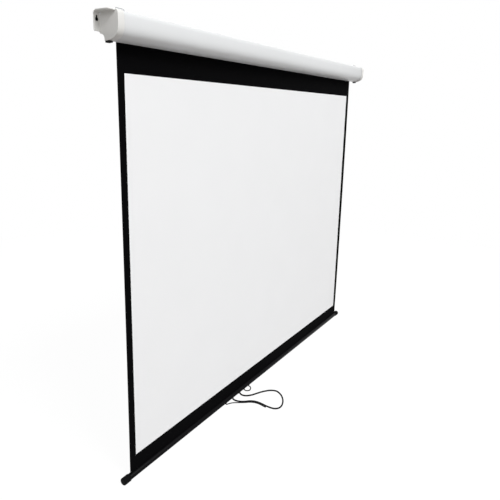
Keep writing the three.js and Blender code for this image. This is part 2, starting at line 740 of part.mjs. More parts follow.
// Steel pin in the right plug, which turns in the bush
const idlePin = () => ring(
  plateOuter - idlePinLength, plateOuter, idlePinRadius, 0, rollerY, rollerZ, smallRoundSteps);

// Flanged nylon bush in the right bearing plate
function idleBush() {
  const inner = plateInner - gap - bushFlangeWall;
  const bore = idlePinRadius + gap;
  const profile = [
    [inner, bore], [inner, bushFlangeRadius], [plateInner - gap, bushFlangeRadius],
    [plateInner - gap, bushRadius], [plateOuter, bushRadius], [plateOuter, bore], [inner, bore],
  ];
  return turnedAboutX(profile, rollerY, rollerZ, smallRoundSteps);
}

// White viewing area of the cloth
const viewBottom = caseTop - caseHeight - blackDrop - viewHeight;
const viewArea = () => new THREE.BoxGeometry(viewWidth - gap - gap, clothThickness, viewHeight - gap - gap)
  .translate(0, -clothToWall, viewBottom + viewHeight / 2);

// Black border and drop round the viewing area, from the roller down to the hem
const hemTop = battenTop + gap + hemHeight;
function blackBorder() {
  const outline = rectangle(-clothWidth / 2, clothWidth / 2, hemTop + gap, rollerZ);
  outline.holes.push(new THREE.Path(rectangle(
    -viewWidth / 2, viewWidth / 2, viewBottom, viewBottom + viewHeight).getPoints()));
  return alongY(outline, -clothToWall + clothThickness / 2, -clothToWall - clothThickness / 2);
}

// Lowest strip of the cloth, which never winds on and goes up and down with the bar
const clothHem = () => alongY(
  rectangle(-clothWidth / 2, clothWidth / 2, battenTop + gap, hemTop),
  -clothToWall + clothThickness / 2, -clothToWall - clothThickness / 2);

// Places of the cord's eyelets along the bar, and the slant at which they look forwards and down
const eyeletXs = [-275, -231, -183, -151, -118];
const eyeletSlant = THREE.MathUtils.degToRad(40);
const eyeletOut = new THREE.Vector3(0, -Math.cos(eyeletSlant), -Math.sin(eyeletSlant));
const onBar = (x, radius) => new THREE.Vector3(x, -clothToWall, barZ).addScaledVector(eyeletOut, radius);

// Cylinder about the eyelet's line at x, between two distances from the bar's middle
function slanted(x, from, to, radius) {
  const length = to - from;
  const geometry = new THREE.CylinderGeometry(radius, radius, length, smallRoundSteps);
  const turn = new THREE.Quaternion().setFromUnitVectors(new THREE.Vector3(0, 1, 0), eyeletOut);
  const middle = onBar(x, from + length / 2);
  return solidOf(geometry.applyQuaternion(turn).translate(middle.x, middle.y, middle.z));
}

// Bottom bar: a round tube with a slot above for the cloth and a drip groove below
function bottomBar() {
  const y = -clothToWall;
  let bar = solidOf(ring(-barLength / 2, barLength / 2, barRadius, barRadius - barWall, y, barZ));
  const slot = rectangle(y - barSlot / 2, y + barSlot / 2, barZ, barZ + barRadius + cutOverrun);
  bar = bar.subtract(solidOf(alongX(slot, -barLength / 2 - cutOverrun, barLength / 2 + cutOverrun)));
  const groove = new THREE.Shape().absarc(y, barZ - barRadius, barGrooveRadius, 0, fullTurn);
  bar = bar.subtract(solidOf(alongX(groove, -barLength / 2 - cutOverrun, barLength / 2 + cutOverrun)));
  for (const x of eyeletXs) {
    bar = bar.subtract(slanted(x, barRadius - barWall - cutOverrun / 2, barRadius + cutOverrun, eyeletHoleRadius));
  }
  return geometryOf(bar);
}

// Flat strip inside the bar, round which the cloth's hem is folded; the bar hangs on its edges
const batten = () => alongX(
  roundedRectangle(
    -clothToWall - battenWidth / 2, -clothToWall + battenWidth / 2,
    battenTop - battenThickness, battenTop,
    Array(4).fill(battenThickness / 2 - weldDistance)),
  -clothWidth / 2, clothWidth / 2);

// Cup-shaped cap on the bar's end, with a rounded rim
function barCap(side) {
  const outerX = barLength / 2 + gap + barCapEndWall;
  const innerX = outerX - barCapLength;
  const bore = barRadius + gap;
  const profile = [[innerX, bore], [innerX, barCapRadius], [outerX - barCapRound, barCapRadius]];
  for (let i = 1; i <= curveSteps; i += 1) {
    const angle = quarterTurn * (i / curveSteps);
    profile.push([
      outerX - barCapRound + barCapRound * Math.sin(angle),
      barCapRadius - barCapRound + barCapRound * Math.cos(angle)]);
  }
  profile.push([outerX, 0], [outerX - barCapEndWall, 0], [outerX - barCapEndWall, bore], [innerX, bore]);
  return geometryOf(forSide(solidOf(turnedAboutX(profile, -clothToWall, barZ)), side));
}

// Eyelet pressed into the bar where the cord goes in
function eyelet(x) {
  const flange = slanted(x, barRadius + gap / 2, barRadius + eyeletFlangeWall, eyeletFlangeRadius);
  const shank = slanted(x, barRadius + eyeletFlangeWall / 2 - eyeletShankLength,
    barRadius + eyeletFlangeWall / 2, eyeletShankRadius);
  return geometryOf(flange.add(shank));
}

// Where a cord meets the eyelet at x, and the next point straight out from it
const cordStart = (x) => onBar(x, barRadius + eyeletFlangeWall + gap);
const cordLeadEnd = (x) => onBar(x, barRadius + eyeletFlangeWall + gap + cordLead);

// Points of the long loop as it lies in front of the bar, chosen by hand
const longLoop = [
  [-188, -33], [-184, -49], [-168, -64], [-146, -75], [-118, -90], [-96, -109], [-88, -130],
  [-99, -155], [-119, -175], [-142, -189], [-169, -197], [-187, -194], [-197, -183],
  [-200, -166], [-199, -146], [-196, -122], [-197, -101], [-205, -83], [-220, -67],
  [-231, -49], [-234, -33],
];

// Points of the second strand, which runs close beside the first as far as its knot
const sideStrand = [
  [-267, -24], [-253, -33], [-243, -45], [-234, -58], [-224, -71], [-211, -86], [-204, -101],
  [-202, -121], [-206, -145],
];

// Points of the short loop to the right of the long one
const shortLoop = [[-152, -28], [-143, -38], [-126, -34], [-117, -24]];

// Tube of the cord through its eyelet points and its points on the floor
function cord(startX, points, endX, radius = cordRadius) {
  const onFloor = ([x, y]) => new THREE.Vector3(x, y, floorZ + radius);
  const route = [cordStart(startX), cordLeadEnd(startX), ...points.map(onFloor)];
  if (endX !== undefined) route.push(cordLeadEnd(endX), cordStart(endX));
  const curve = new THREE.CatmullRomCurve3(route, false, 'centripetal');
  const steps = Math.min(cordMostSteps, Math.ceil(curve.getLength() / cordStep));
  console.log(`cord from x ${startX}: length ${curve.getLength().toFixed(0)} mm`);
  return tubeAlong(curve, radius, cordSides, steps);
}

// Knot that ties the second strand to the first
function cordKnot() {
  const [x, y] = sideStrand[sideStrand.length - 1];
  const profile = [[0, 0]];
  for (let i = 1; i < curveSteps; i += 1) {
    const angle = halfTurn * (i / curveSteps);
    profile.push([knotLength / 2 * (1 - Math.cos(angle)), knotRadius * Math.sin(angle)]);
  }
  profile.push([knotLength, 0]);
  const points = profile.map(([distance, radius]) => new THREE.Vector2(radius, distance));
  return new THREE.LatheGeometry(points, smallRoundSteps).rotateX(halfTurn)
    .translate(x, y - gap, floorZ + knotRadius);
}

const part = new THREE.Group();
const add = (name, geometry, material, group = part) => {
  const mesh = new THREE.Mesh(geometry, material);
  mesh.name = name;
  group.add(mesh);
};

const sides = [['left', -1], ['right', 1]];
add('case', caseShell(), whiteEnamel);
for (const [word, side] of sides) {
  add(`${word}_end_cap`, endCap(side), lightPlastic);
  add(`${word}_cap_screw`, capScrew(side), brightSteel);
  add(`${word}_wall_pad`, wallPad(side), blackRubber);
  add(`${word}_bumper`, bumper(side), blackRubber);
  add(`${word}_hanging_loop`, hangingLoop(side), brightSteel);
  add(`${word}_loop_clip`, loopClip(side), galvanisedSteel);
  add(`${word}_bearing_plate`, bearingPlate(side, side < 0 ? spearHole() : bushHole()), galvanisedSteel);
  add(`${word}_back_screw`, plateScrew(side, 1), brightSteel);
  add(`${word}_front_screw`, plateScrew(side, -1), brightSteel);
}
add('spring_rod', springRod(), brightSteel);
add('ratchet_wheel', ratchetWheel(), brightSteel);
add('spring_anchor', springAnchor(), darkPlastic);
add('torsion_spring', torsionSpring(), brightSteel);
add('idle_bush', idleBush(), nylon);

const roller = new THREE.Group();
add('roller_tube', rollerTube(), galvanisedSteel, roller);
add('cloth_roll', clothRoll(), blackPvc, roller);
add('drive_plug', rollerPlug(-1, rodRadius + gap, [pawlPivot(1), pawlPivot(-1)]), darkPlastic, roller);
add('idle_plug', rollerPlug(1, idlePinRadius + gap, []), darkPlastic, roller);
add('idle_pin', idlePin(), brightSteel, roller);
add('centre_bearing', centreBearing(), nylon, roller);
for (const [word, way] of [['upper', 1], ['lower', -1]]) {
  add(`${word}_pawl_pin`, pawlPin(way), brightSteel, roller);
  add(`${word}_pawl`, pawl(way), brightSteel, roller);
}
part.add(roller);

add('viewing_area', viewArea(), whitePvc);
add('black_border', blackBorder(), blackPvc);

const bar = new THREE.Group();
add('bottom_bar', bottomBar(), blackEnamel, bar);
add('batten', batten(), galvanisedSteel, bar);
add('cloth_hem', clothHem(), blackPvc, bar);
for (const [word, side] of sides) {
  add(`${word}_bar_cap`, barCap(side), blackPlastic, bar);
}
eyeletXs.forEach((x, i) => add(`cord_eyelet_${i + 1}`, eyelet(x), blackPlastic, bar));
part.add(bar);

const cords = new THREE.Group();
add('pull_cord', cord(eyeletXs[2], longLoop, eyeletXs[1]), blackCord, cords);
add('side_cord', cord(eyeletXs[0], sideStrand, undefined, sideCordRadius), blackCord, cords);
add('short_cord', cord(eyeletXs[3], shortLoop, eyeletXs[4], shortCordRadius), blackCord, cords);
add('cord_knot', cordKnot(), blackCord, cords);
part.add(cords);

export default part;
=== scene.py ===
"""Pull down projector screen: visible pieces, finishes, light and camera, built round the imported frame.

Lengths are in millimetres, as in the part's source, until new_object() turns them into metres.
+X is to the right for someone facing the screen, +Y goes into the wall, +Z is up.
"""
import math

import bpy
import numpy as np
from mathutils import Matrix, Vector
from mathutils.geometry import tessellate_polygon


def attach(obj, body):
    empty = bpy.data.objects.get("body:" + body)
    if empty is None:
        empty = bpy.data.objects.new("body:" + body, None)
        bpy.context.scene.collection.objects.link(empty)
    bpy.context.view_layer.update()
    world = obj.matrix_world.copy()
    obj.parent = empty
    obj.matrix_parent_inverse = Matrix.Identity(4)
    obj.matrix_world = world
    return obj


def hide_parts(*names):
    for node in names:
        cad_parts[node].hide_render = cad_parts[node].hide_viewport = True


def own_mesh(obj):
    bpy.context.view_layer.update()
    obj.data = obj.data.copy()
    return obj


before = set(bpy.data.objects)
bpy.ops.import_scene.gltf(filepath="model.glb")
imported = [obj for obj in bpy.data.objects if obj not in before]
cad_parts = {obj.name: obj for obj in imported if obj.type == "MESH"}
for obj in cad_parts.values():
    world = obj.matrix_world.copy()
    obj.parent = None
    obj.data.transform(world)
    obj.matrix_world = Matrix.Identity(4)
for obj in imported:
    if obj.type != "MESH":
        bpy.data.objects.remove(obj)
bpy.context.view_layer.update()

MM = 0.001
TURN = 2 * math.pi
MITRE_LIMIT = 0.35  # least cosine used in a mitre, so that a sharp corner stays finite
TINY = 1e-12  # least length that a vector is divided by
WELD = 1e-3  # points nearer to each other than this, in millimetres, are one
SIDES = (("left", -1), ("right", 1))

# Sizes of the part, as its source has them
GAP = 0.3
VIEW_WIDTH, VIEW_HEIGHT = 1463.0, 1092.0
SIDE_BORDER, BLACK_DROP = 25.0, 70.0
CLOTH_WIDTH = VIEW_WIDTH + 2 * SIDE_BORDER
CLOTH_Y, CLOTH_THICKNESS = -11.6, 0.4
CASE_TOP, CASE_HEIGHT, CASE_DEPTH = 18.5, 65.0, 65.0
CASE_WALL = 1.4
CASE_OVERHANG, BAR_OVERHANG = 38.5, 26.5  # past each side of the cloth
CASE_HALF = CLOTH_WIDTH / 2 + CASE_OVERHANG
CAP_WALL, CAP_PROUD, CAP_SKIRT = 3.0, 1.5, 20.0
CAP_INNER = CASE_HALF + GAP
CAP_OUTER = CAP_INNER + CAP_WALL
CAP_TOP = CASE_TOP + CAP_PROUD
ROLLER_Y, ROLLER_Z = -32.3, -11.5
BAR_Z, BAR_RADIUS, BAR_WALL = -1267.5, 9.5, 1.4
BAR_HALF = CLOTH_WIDTH / 2 + BAR_OVERHANG
BAR_CAP_RADIUS, BAR_CAP_LENGTH, BAR_CAP_END = 11.3, 24.0, 3.0
FLOOR_Z = BAR_Z - BAR_CAP_RADIUS  # what the cords lie on, and the caps stand on
BATTEN_RISE, HEM_HEIGHT = 4.984, 36.0
BATTEN_TOP = BAR_Z + BATTEN_RISE
HEM_TOP = BATTEN_TOP + GAP + HEM_HEIGHT
VIEW_TOP = CASE_TOP - CASE_HEIGHT - BLACK_DROP
VIEW_BOTTOM = VIEW_TOP - VIEW_HEIGHT
LOOP_X, LOOP_Y, LOOP_AXIS_Z, LOOP_WIRE = 760.0, -30.0, 20.6, 1.0
PORT_Y, PORT_Z, PORT_RADIUS, PORT_BORE = -8.0, 13.9, 3.6, 1.8
KEYHOLE_X, KEYHOLE_RADIUS, KEY_SLOT_RADIUS, KEY_SLOT_RISE = CAP_OUTER + 8.6, 4.6, 2.4, 9.4

# The case's section: distances from the wall, and heights down from its top
BACK_CORNER, BACK_HEIGHT = 5.0, 44.0
NOTCH_MIDDLE, NOTCH_RADIUS, NOTCH_DROP = 6.0, 12.6, 62.5
BACK_FOOT, SLOT_BACK, SLOT_FRONT, LIP_INNER = 5.6, 8.0, 15.2, 18.6

# Camera: place, turn, lens and shift fitted to the outlines of the case, cloth and bar
CAMERA_PLACE = (-1.670388, -0.987782, -0.203418)
CAMERA_RIGHT = (0.53576, -0.844025, 0.024138)
CAMERA_DOWN = (-0.174392, -0.138579, -0.974876)
CAMERA_FORWARD = (0.826165, 0.51809, -0.221436)
FRAME_SIDE = 500.0
FOCAL_PIXELS = 503.569
PRINCIPAL_POINT = (251.54, 226.39)
SENSOR = 36.0
CLIP_START, CLIP_END = 0.01, 60.0


def make_camera():
    """Camera turned so that its X, -Y and -Z are the fitted right, down and forward directions."""
    data = bpy.data.cameras.new("camera")
    data.sensor_width = SENSOR
    data.lens = FOCAL_PIXELS / FRAME_SIDE * SENSOR
    data.shift_x = (FRAME_SIDE / 2 - PRINCIPAL_POINT[0]) / FRAME_SIDE
    data.shift_y = (PRINCIPAL_POINT[1] - FRAME_SIDE / 2) / FRAME_SIDE
    data.clip_start, data.clip_end = CLIP_START, CLIP_END
    camera = bpy.data.objects.new("camera", data)
    bpy.context.scene.collection.objects.link(camera)
    turn = Matrix((CAMERA_RIGHT, [-v for v in CAMERA_DOWN], [-v for v in CAMERA_FORWARD])).transposed()
    camera.matrix_world = Matrix.Translation(CAMERA_PLACE) @ turn.normalized().to_4x4()
    bpy.context.scene.camera = camera


make_camera()


# Shapes

def unit(vectors):
    """Each vector divided by its length."""
    return vectors / np.maximum(np.linalg.norm(vectors, axis=-1, keepdims=True), TINY)


def line_normals(line, closed):
    """Mitred normals to the left of a line of 2-D points: the mean of the normals of the two
    stretches that meet, made longer by one over the cosine of half the corner."""
    if closed:
        before, after = line - np.roll(line, 1, 0), np.roll(line, -1, 0) - line
    else:
        step = np.diff(line, axis=0)
        before, after = np.vstack([step[:1], step]), np.vstack([step, step[-1:]])
    before, after = unit(before), unit(after)
    left_before = np.stack([-before[:, 1], before[:, 0]], -1)
    left_after = np.stack([-after[:, 1], after[:, 0]], -1)
    mean = unit(left_before + left_after)
    cosine = np.maximum((mean * left_before).sum(-1, keepdims=True), MITRE_LIMIT)
    return mean / cosine


def beside(line, distance):
    """Open line moved to its left by a distance."""
    return line + line_normals(line, False) * distance


def beside_loop(loop, distance):
    """Counter-clockwise loop moved outwards by a distance."""
    return loop - line_normals(loop, True) * distance


def signed_area(loop):
    """Area of a loop of 2-D points, positive when it runs counter-clockwise."""
    after = np.roll(loop, -1, 0)
    return 0.5 * (loop[:, 0] * after[:, 1] - loop[:, 1] * after[:, 0]).sum()


def arc(centre, radius, start, end, steps=16):
    """Points of a circle from one angle to another, in degrees."""
    angle = np.radians(np.linspace(start, end, steps + 1))
    return np.stack([centre[0] + radius * np.cos(angle), centre[1] + radius * np.sin(angle)], -1)


def circle(centre, radius, steps):
    """Closed circle, without its repeated last point."""
    return arc(centre, radius, 0, 360, steps)[:-1]


def bezier(*points, steps=12):
    """Curve from the first point to the last: the points weighed by the Bernstein polynomials."""
    t, n = np.linspace(0, 1, steps + 1)[:, None], len(points) - 1
    return sum(
        math.comb(n, k) * (1 - t) ** (n - k) * t ** k * np.asarray(p, float)
        for k, p in enumerate(points))


def without_repeats(points):
    """Points that aren't one with the point before."""
    apart = np.linalg.norm(np.diff(points, axis=0), axis=-1) > WELD
    return points[np.concatenate([[True], apart])]


def round_box(low, high, radii, steps=8):
    """Rectangle whose corners low-low, high-low, high-high and low-high have the given radii."""
    (x0, y0), (x1, y1) = low, high
    corners = ((x0, y0, 1, 1, 180), (x1, y0, -1, 1, 270), (x1, y1, -1, -1, 0), (x0, y1, 1, -1, 90))
    parts = [
        arc((x + sx * r, y + sy * r), r, start, start + 90, steps) if r else np.array([[x, y]], float)
        for (x, y, sx, sy, start), r in zip(corners, radii)
    ]
    return without_repeats(np.vstack(parts))


def lattice(rows, columns, closed=False):
    """Quads of a grid of points, and the row and column at each corner. A closed grid joins its
    last column to its first, and there the column number runs on past the seam."""
    spans = columns if closed else columns - 1
    r, c = np.meshgrid(np.arange(rows - 1), np.arange(spans), indexing="ij")
    row = np.stack([r, r, r + 1, r + 1], -1).reshape(-1, 4)
    column = np.stack([c, c + 1, c + 1, c], -1).reshape(-1, 4)
    return row * columns + column % columns, row, column


class Shell:
    """Vertices with quads and triangles between them, and a UV pair for each corner of each quad."""

    def __init__(self, points, quads, triangles=None, uv=None):
        self.points = np.asarray(points, float).reshape(-1, 3)
        self.quads = np.asarray(quads, int).reshape(-1, 4)
        self.triangles = np.zeros((0, 3), int) if triangles is None else np.asarray(triangles, int)
        self.uv = np.zeros((len(self.quads), 4, 2)) if uv is None else uv


def for_side(shell, side):
    """Shell drawn for the right end, for the side asked for: 1 right, -1 left. The left one is its
    reflection in the plane X = 0, with the faces turned round so that they still point out."""
    if side > 0:
        return shell
    return Shell(
        shell.points * (-1, 1, 1), shell.quads[:, ::-1], shell.triangles[:, ::-1], shell.uv[:, ::-1])


ORDER = {"x": [2, 0, 1], "y": [1, 2, 0], "z": [0, 1, 2]}


def plate(axis, low, high, outline, holes=(), edge=0, steps=3):
    """Outline with holes carried straight along an axis. Each rim is a quarter circle: at its turn a
    the outline lies edge (1 - sin a) inside itself and edge (1 - cos a) from the face.
    For axis x the outline is in Y and Z, for y in Z and X, for z in X and Y."""
    loops = [outline if signed_area(outline) > 0 else outline[::-1]]
    loops += [hole if signed_area(hole) < 0 else hole[::-1] for hole in holes]
    turn = np.linspace(0, math.pi / 2, steps + 1) if edge else np.array([math.pi / 2])
    inset, rise = edge * (1 - np.sin(turn)), edge * (1 - np.cos(turn))
    levels = np.concatenate([low + rise, (high - rise)[::-1]])
    insets = np.concatenate([inset, inset[::-1]])
    points, quads, first, last, start = [], [], [], [], 0
    for loop in loops:
        rings = loop[None] + insets[:, None, None] * line_normals(loop, True)[None]
        height = np.broadcast_to(levels[:, None, None], (len(levels), len(loop), 1))
        points.append(np.concatenate([rings, height], -1).reshape(-1, 3))
        quads.append(lattice(len(levels), len(loop), True)[0] + start)
        first.append(start + np.arange(len(loop)))
        last.append(start + (len(levels) - 1) * len(loop) + np.arange(len(loop)))
        start += len(levels) * len(loop)
    points = np.vstack(points)
    faces = np.array(tessellate_polygon(
        [[Vector((*points[i][:2], 0)) for i in ring] for ring in first]))
    below, above = np.concatenate(first)[faces], np.concatenate(last)[faces]
    a, b, c = (points[below[:, k]][:, :2] for k in range(3))
    upward = (b[:, 0] - a[:, 0]) * (c[:, 1] - a[:, 1]) - (b[:, 1] - a[:, 1]) * (c[:, 0] - a[:, 0]) > 0
    below = np.where(upward[:, None], below[:, ::-1], below)
    above = np.where(upward[:, None], above, above[:, ::-1])
    return Shell(points[:, ORDER[axis]], np.vstack(quads), np.vstack([below, above]))


def end_fans(count, sides):
    """Triangles that join a pole to the first ring and another to the last. The poles are the two
    points that follow the rings' points, whose count is given."""
    k = np.arange(sides)
    after = (k + 1) % sides
    low = np.stack([k * 0 + count, after, k], -1)
    high = np.stack([k * 0 + count + 1, count - sides + k, count - sides + after], -1)
    return np.vstack([low, high])


def turned(profile, centre, axis=(1, 0, 0), sides=48):
    """Profile of (distance along the axis, radius) turned about the axis through centre: a point is
    centre + distance axis + radius (cos a e1 + sin a e2). It runs forwards along the outside. Ends
    on the axis close in a fan, and otherwise the profile closes on itself."""
    profile = np.asarray(profile, float)
    u = unit(np.asarray(axis, float))
    steep = 0.9
    e1 = unit(np.cross(u, (0, 0, 1) if abs(u[2]) < steep else (1, 0, 0)))
    e2 = np.cross(u, e1)
    closed = profile[0, 1] > 0
    rings = np.vstack([profile, profile[:1]]) if closed else profile[1:-1]
    angle = np.linspace(0, TURN, sides, endpoint=False)
    spokes = np.cos(angle)[:, None] * e1 + np.sin(angle)[:, None] * e2
    points = np.asarray(centre) + rings[:, 0, None, None] * u + rings[:, 1, None, None] * spokes
    quads, row, column = lattice(len(rings), sides, True)
    uv = np.stack([rings[row, 0] * MM, column / sides * TURN * rings[row, 1] * MM], -1)
    if closed:
        return Shell(points[:-1], quads % ((len(rings) - 1) * sides), uv=uv)
    poles = np.asarray(centre) + profile[[0, -1], :1] * u
    points = np.vstack([points.reshape(-1, 3), poles])
    return Shell(points, quads, end_fans(len(points) - 2, sides), uv)


def tube(path, radius, reference, sides):
    """Round section carried along a path: side = tangent x reference, other = side x tangent, and a
    point is path + radius (cos a side + sin a other). Flat ends close in fans. U is the length
    along the path and V the way round, both in metres."""
    path = np.asarray(path, float)
    tangent = unit(np.gradient(path, axis=0))
    side = unit(np.cross(tangent, np.broadcast_to(reference, path.shape)))
    other = np.cross(side, tangent)
    angle = np.linspace(0, TURN, sides, endpoint=False)
    radius = np.broadcast_to(radius, (len(path),))[:, None, None]
    points = path[:, None] + radius * (
        np.cos(angle)[:, None] * side[:, None] - np.sin(angle)[:, None] * other[:, None])
    quads, row, column = lattice(len(path), sides, True)
    run = np.concatenate([[0], np.cumsum(np.linalg.norm(np.diff(path, axis=0), axis=-1))])
    uv = np.stack([run[row] * MM, column / sides * TURN * radius[row, 0, 0] * MM], -1)
    points = np.vstack([points.reshape(-1, 3), path[[0, -1]]])
    return Shell(points, quads, end_fans(len(points) - 2, sides), uv)


def new_object(name, shells):
    """Object at the origin made of shells, in metres, with a UV map."""
    points, faces, uv, start = [], [], [], 0
    for shell in shells:
        points.append(shell.points * MM)
        faces += (shell.quads + start).tolist() + (shell.triangles + start).tolist()
        uv += [shell.uv.reshape(-1, 2), np.zeros((len(shell.triangles) * 3, 2))]
        start += len(shell.points)
    mesh = bpy.data.meshes.new(name)
    mesh.from_pydata(np.vstack(points).tolist(), [], faces)
    layer = mesh.uv_layers.new(name="along")
    layer.data.foreach_set("uv", np.vstack(uv).ravel())
    mesh.validate()
    piece = bpy.data.objects.new(name, mesh)
    bpy.context.scene.collection.objects.link(piece)
    return piece


def united(name, shells, cuts):
    """One closed body from shells that reach into each other, less the cuts."""
    piece = new_object(name, shells[:1])
    tools = []
    for word, others in (("UNION", shells[1:]), ("DIFFERENCE", cuts)):
        for number, shell in enumerate(others):
            tool = new_object(f"{name}_{word}_{number}", [shell])
            change = piece.modifiers.new(word, "BOOLEAN")
            change.operation, change.object, change.solver = word, tool, "EXACT"
            tools.append(tool)
    depsgraph = bpy.context.evaluated_depsgraph_get()
    done = bpy.data.meshes.new_from_object(piece.evaluated_get(depsgraph))
    piece.modifiers.clear()
    piece.data = done
    for tool in tools:
        bpy.data.objects.remove(tool)
    return piece


def make_piece(name, shells, finish, body, replaced, sharp=32.0, cuts=None):
    """Piece from shells, with its finish, smooth shading up to an angle, its body, and the CAD nodes
    it replaces hidden. With cuts, even with none of them, the shells become one closed body."""
    piece = new_object(name, shells) if cuts is None else united(name, shells, cuts)
    piece.data.materials.clear()
    for material in finish if isinstance(finish, (list, tuple)) else [finish]:
        piece.data.materials.append(material)
    piece.data.shade_smooth()
    piece.data.set_sharp_from_angle(angle=math.radians(sharp))
    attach(piece, body)
    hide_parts(*replaced)
    return piece


# Finishes

def colour(code):
    """sRGB hex colour as linear red, green, blue and alpha."""
    value = np.array([int(code[i:i + 2], 16) for i in (1, 3, 5)]) / 255
    linear = np.where(value <= 0.04045, value / 12.92, ((value + 0.055) / 1.055) ** 2.4)
    return (*linear.tolist(), 1.0)


def add(tree, kind, settings=None, **links):
    """Adds a shader node. Settings are properties, or values of inputs by name or number; links feed
    the inputs named, or those numbered as in_0."""
    node = tree.nodes.new("ShaderNode" + kind)
    for key, value in (settings or {}).items():
        if isinstance(key, str) and hasattr(node, key):
            setattr(node, key, value)
        else:
            node.inputs[key].default_value = value
    for key, source in links.items():
        slot = int(key[3:]) if key.startswith("in_") else key.replace("_", " ")
        tree.links.new(source, node.inputs[slot])
    return node


def maths(tree, operation, first, second=None):
    """Result of one sum on an output, or on an output and a second output or number."""
    node = add(tree, "Math", {"operation": operation}, in_0=first)
    if isinstance(second, float):
        node.inputs[1].default_value = second
    elif second is not None:
        tree.links.new(second, node.inputs[1])
    return node.outputs[0]


def two_tones(tree, share, start, end):
    """Colour that goes from one hex colour to another as a share goes from 0 to 1."""
    tones = {"data_type": "RGBA", 6: colour(start), 7: colour(end)}
    return add(tree, "Mix", tones, in_0=share).outputs[2]


def noise(tree, place, scale, detail):
    """Smooth random height of 0 to 1 at a place."""
    settings = {"Scale": scale, "Detail": detail}
    return add(tree, "TexNoise", settings, Vector=place).outputs["Fac"]


def start_finish(name, settings):
    """New node material with a Principled shader that has the settings given."""
    material = bpy.data.materials.new(name)
    material.use_nodes = True
    tree = material.node_tree
    tree.nodes.clear()
    shader = add(tree, "BsdfPrincipled", settings)
    add(tree, "OutputMaterial", Surface=shader.outputs[0])
    return material, tree, shader


def bump(tree, shader, height, depth_mm, strength=1.0):
    """Raises the surface by a height of 0 to 1 times a depth in millimetres."""
    settings = {"Distance": depth_mm * MM, "Strength": strength}
    node = add(tree, "Bump", settings, Height=height)
    tree.links.new(node.outputs[0], shader.inputs["Normal"])


def drift(tree, shader, share, light, dark, rough):
    """Lets the colour drift between two tones, and the roughness over its range, with a share."""
    tree.links.new(two_tones(tree, share, dark, light), shader.inputs["Base Color"])
    gloss = add(tree, "MapRange", {"To Min": rough[0], "To Max": rough[1]}, Value=share)
    tree.links.new(gloss.outputs[0], shader.inputs["Roughness"])


def mottled(name, light, dark, grain_mm, depth_mm, rough, patch_mm=60.0, **shader_settings):
    """Finish whose colour drifts between two near tones in patches, whose roughness drifts with
    them by the range given, and whose surface has a grain of the size and depth given."""
    settings = {key.replace("_", " "): value for key, value in shader_settings.items()}
    material, tree, shader = start_finish(name, settings)
    place = add(tree, "TexCoord").outputs["Object"]
    drift(tree, shader, noise(tree, place, 1 / (patch_mm * MM), detail=4.0), light, dark, rough)
    bump(tree, shader, noise(tree, place, 1 / (grain_mm * MM), detail=2.0), depth_mm)
    return material


def drawn_metal(name, light, dark, rough, line_mm, along):
    """Metal finish with fine lines left by the tool, stretched along one axis."""
    stretch, depth_mm = 40, 0.01
    material, tree, shader = start_finish(name, {"Metallic": 1.0})
    place = add(tree, "TexCoord").outputs["Object"]
    scale = [1 / (line_mm * MM)] * 3
    scale["xyz".index(along)] /= stretch
    lines = add(tree, "Mapping", {"Scale": scale}, Vector=place)
    height = noise(tree, lines.outputs[0], scale=1.0, detail=3.0)
    drift(tree, shader, height, light, dark, rough)
    bump(tree, shader, height, depth_mm)
    return material


# Case: rolled or extruded metal with white powder coat, smooth, with a faint orange peel
white_powder_coat = mottled(
    "white_powder_coat", "#e3e5e6", "#e0e2e3", grain_mm=1.6, depth_mm=0.012, rough=(0.3, 0.37),
    Specular_IOR_Level=0.4)

# End caps: injection-moulded ABS, off-white, with the fine matt texture of an etched mould
off_white_abs = mottled(
    "off_white_abs", "#ecece9", "#e8e8e5", grain_mm=0.7, depth_mm=0.03, rough=(0.5, 0.58),
    Specular_IOR_Level=0.35)

# Stops under the caps: moulded rubber, black and dull
black_rubber = mottled(
    "black_rubber", "#0f0f10", "#0b0b0c", grain_mm=0.9, depth_mm=0.05, rough=(0.75, 0.9), patch_mm=9.0,
    Specular_IOR_Level=0.15)

# Pads behind the ears: closed-cell foam, black, with small open cells on its cut faces. The pads'
# black also stands in for shade: it fills the sheet across each keyhole, painted shade for the dark
# inside of the hole
black_foam_and_painted_shade = mottled(
    "black_foam_and_painted_shade", "#101011", "#09090a", grain_mm=0.6, depth_mm=0.18, rough=(0.9, 1.0),
    patch_mm=4.0, Specular_IOR_Level=0.05)

# Bearing plates, clips, roller tube and batten: zinc-plated steel, dull, with faint clouding
zinc_plated_steel = mottled(
    "zinc_plated_steel", "#b9bcc0", "#a3a7ab", grain_mm=1.1, depth_mm=0.01, rough=(0.3, 0.46),
    patch_mm=7.0, Metallic=1.0)

# Loops, screws, rod, pins, pawls and ratchet: bright drawn or turned steel with fine lines
bright_drawn_steel = drawn_metal(
    "bright_drawn_steel", "#d6d7d9", "#bfc1c4", (0.16, 0.3), line_mm=0.25, along="x")

# Cap screws: zinc-plated heads, satin and pale
pale_screw_steel = mottled(
    "pale_screw_steel", "#f0f1f2", "#e4e5e7", grain_mm=0.6, depth_mm=0.01, rough=(0.5, 0.6),
    patch_mm=3.0, Metallic=1.0)

# Bushes: natural nylon, off-white and waxy
natural_nylon = mottled(
    "natural_nylon", "#e9e4d6", "#e0dac9", grain_mm=0.8, depth_mm=0.015, rough=(0.42, 0.55),
    patch_mm=12.0, Subsurface_Weight=0.15)

# Roller plugs and spring collar: glass-filled nylon, dark grey, slightly streaked
dark_filled_nylon = mottled(
    "dark_filled_nylon", "#404347", "#34373b", grain_mm=0.5, depth_mm=0.03, rough=(0.45, 0.62),
    patch_mm=5.0)

# Bottom bar: aluminium tube with satin black enamel
black_satin_enamel = mottled(
    "black_satin_enamel", "#08080a", "#060607", grain_mm=1.2, depth_mm=0.01, rough=(0.36, 0.44),
    Specular_IOR_Level=0.06)

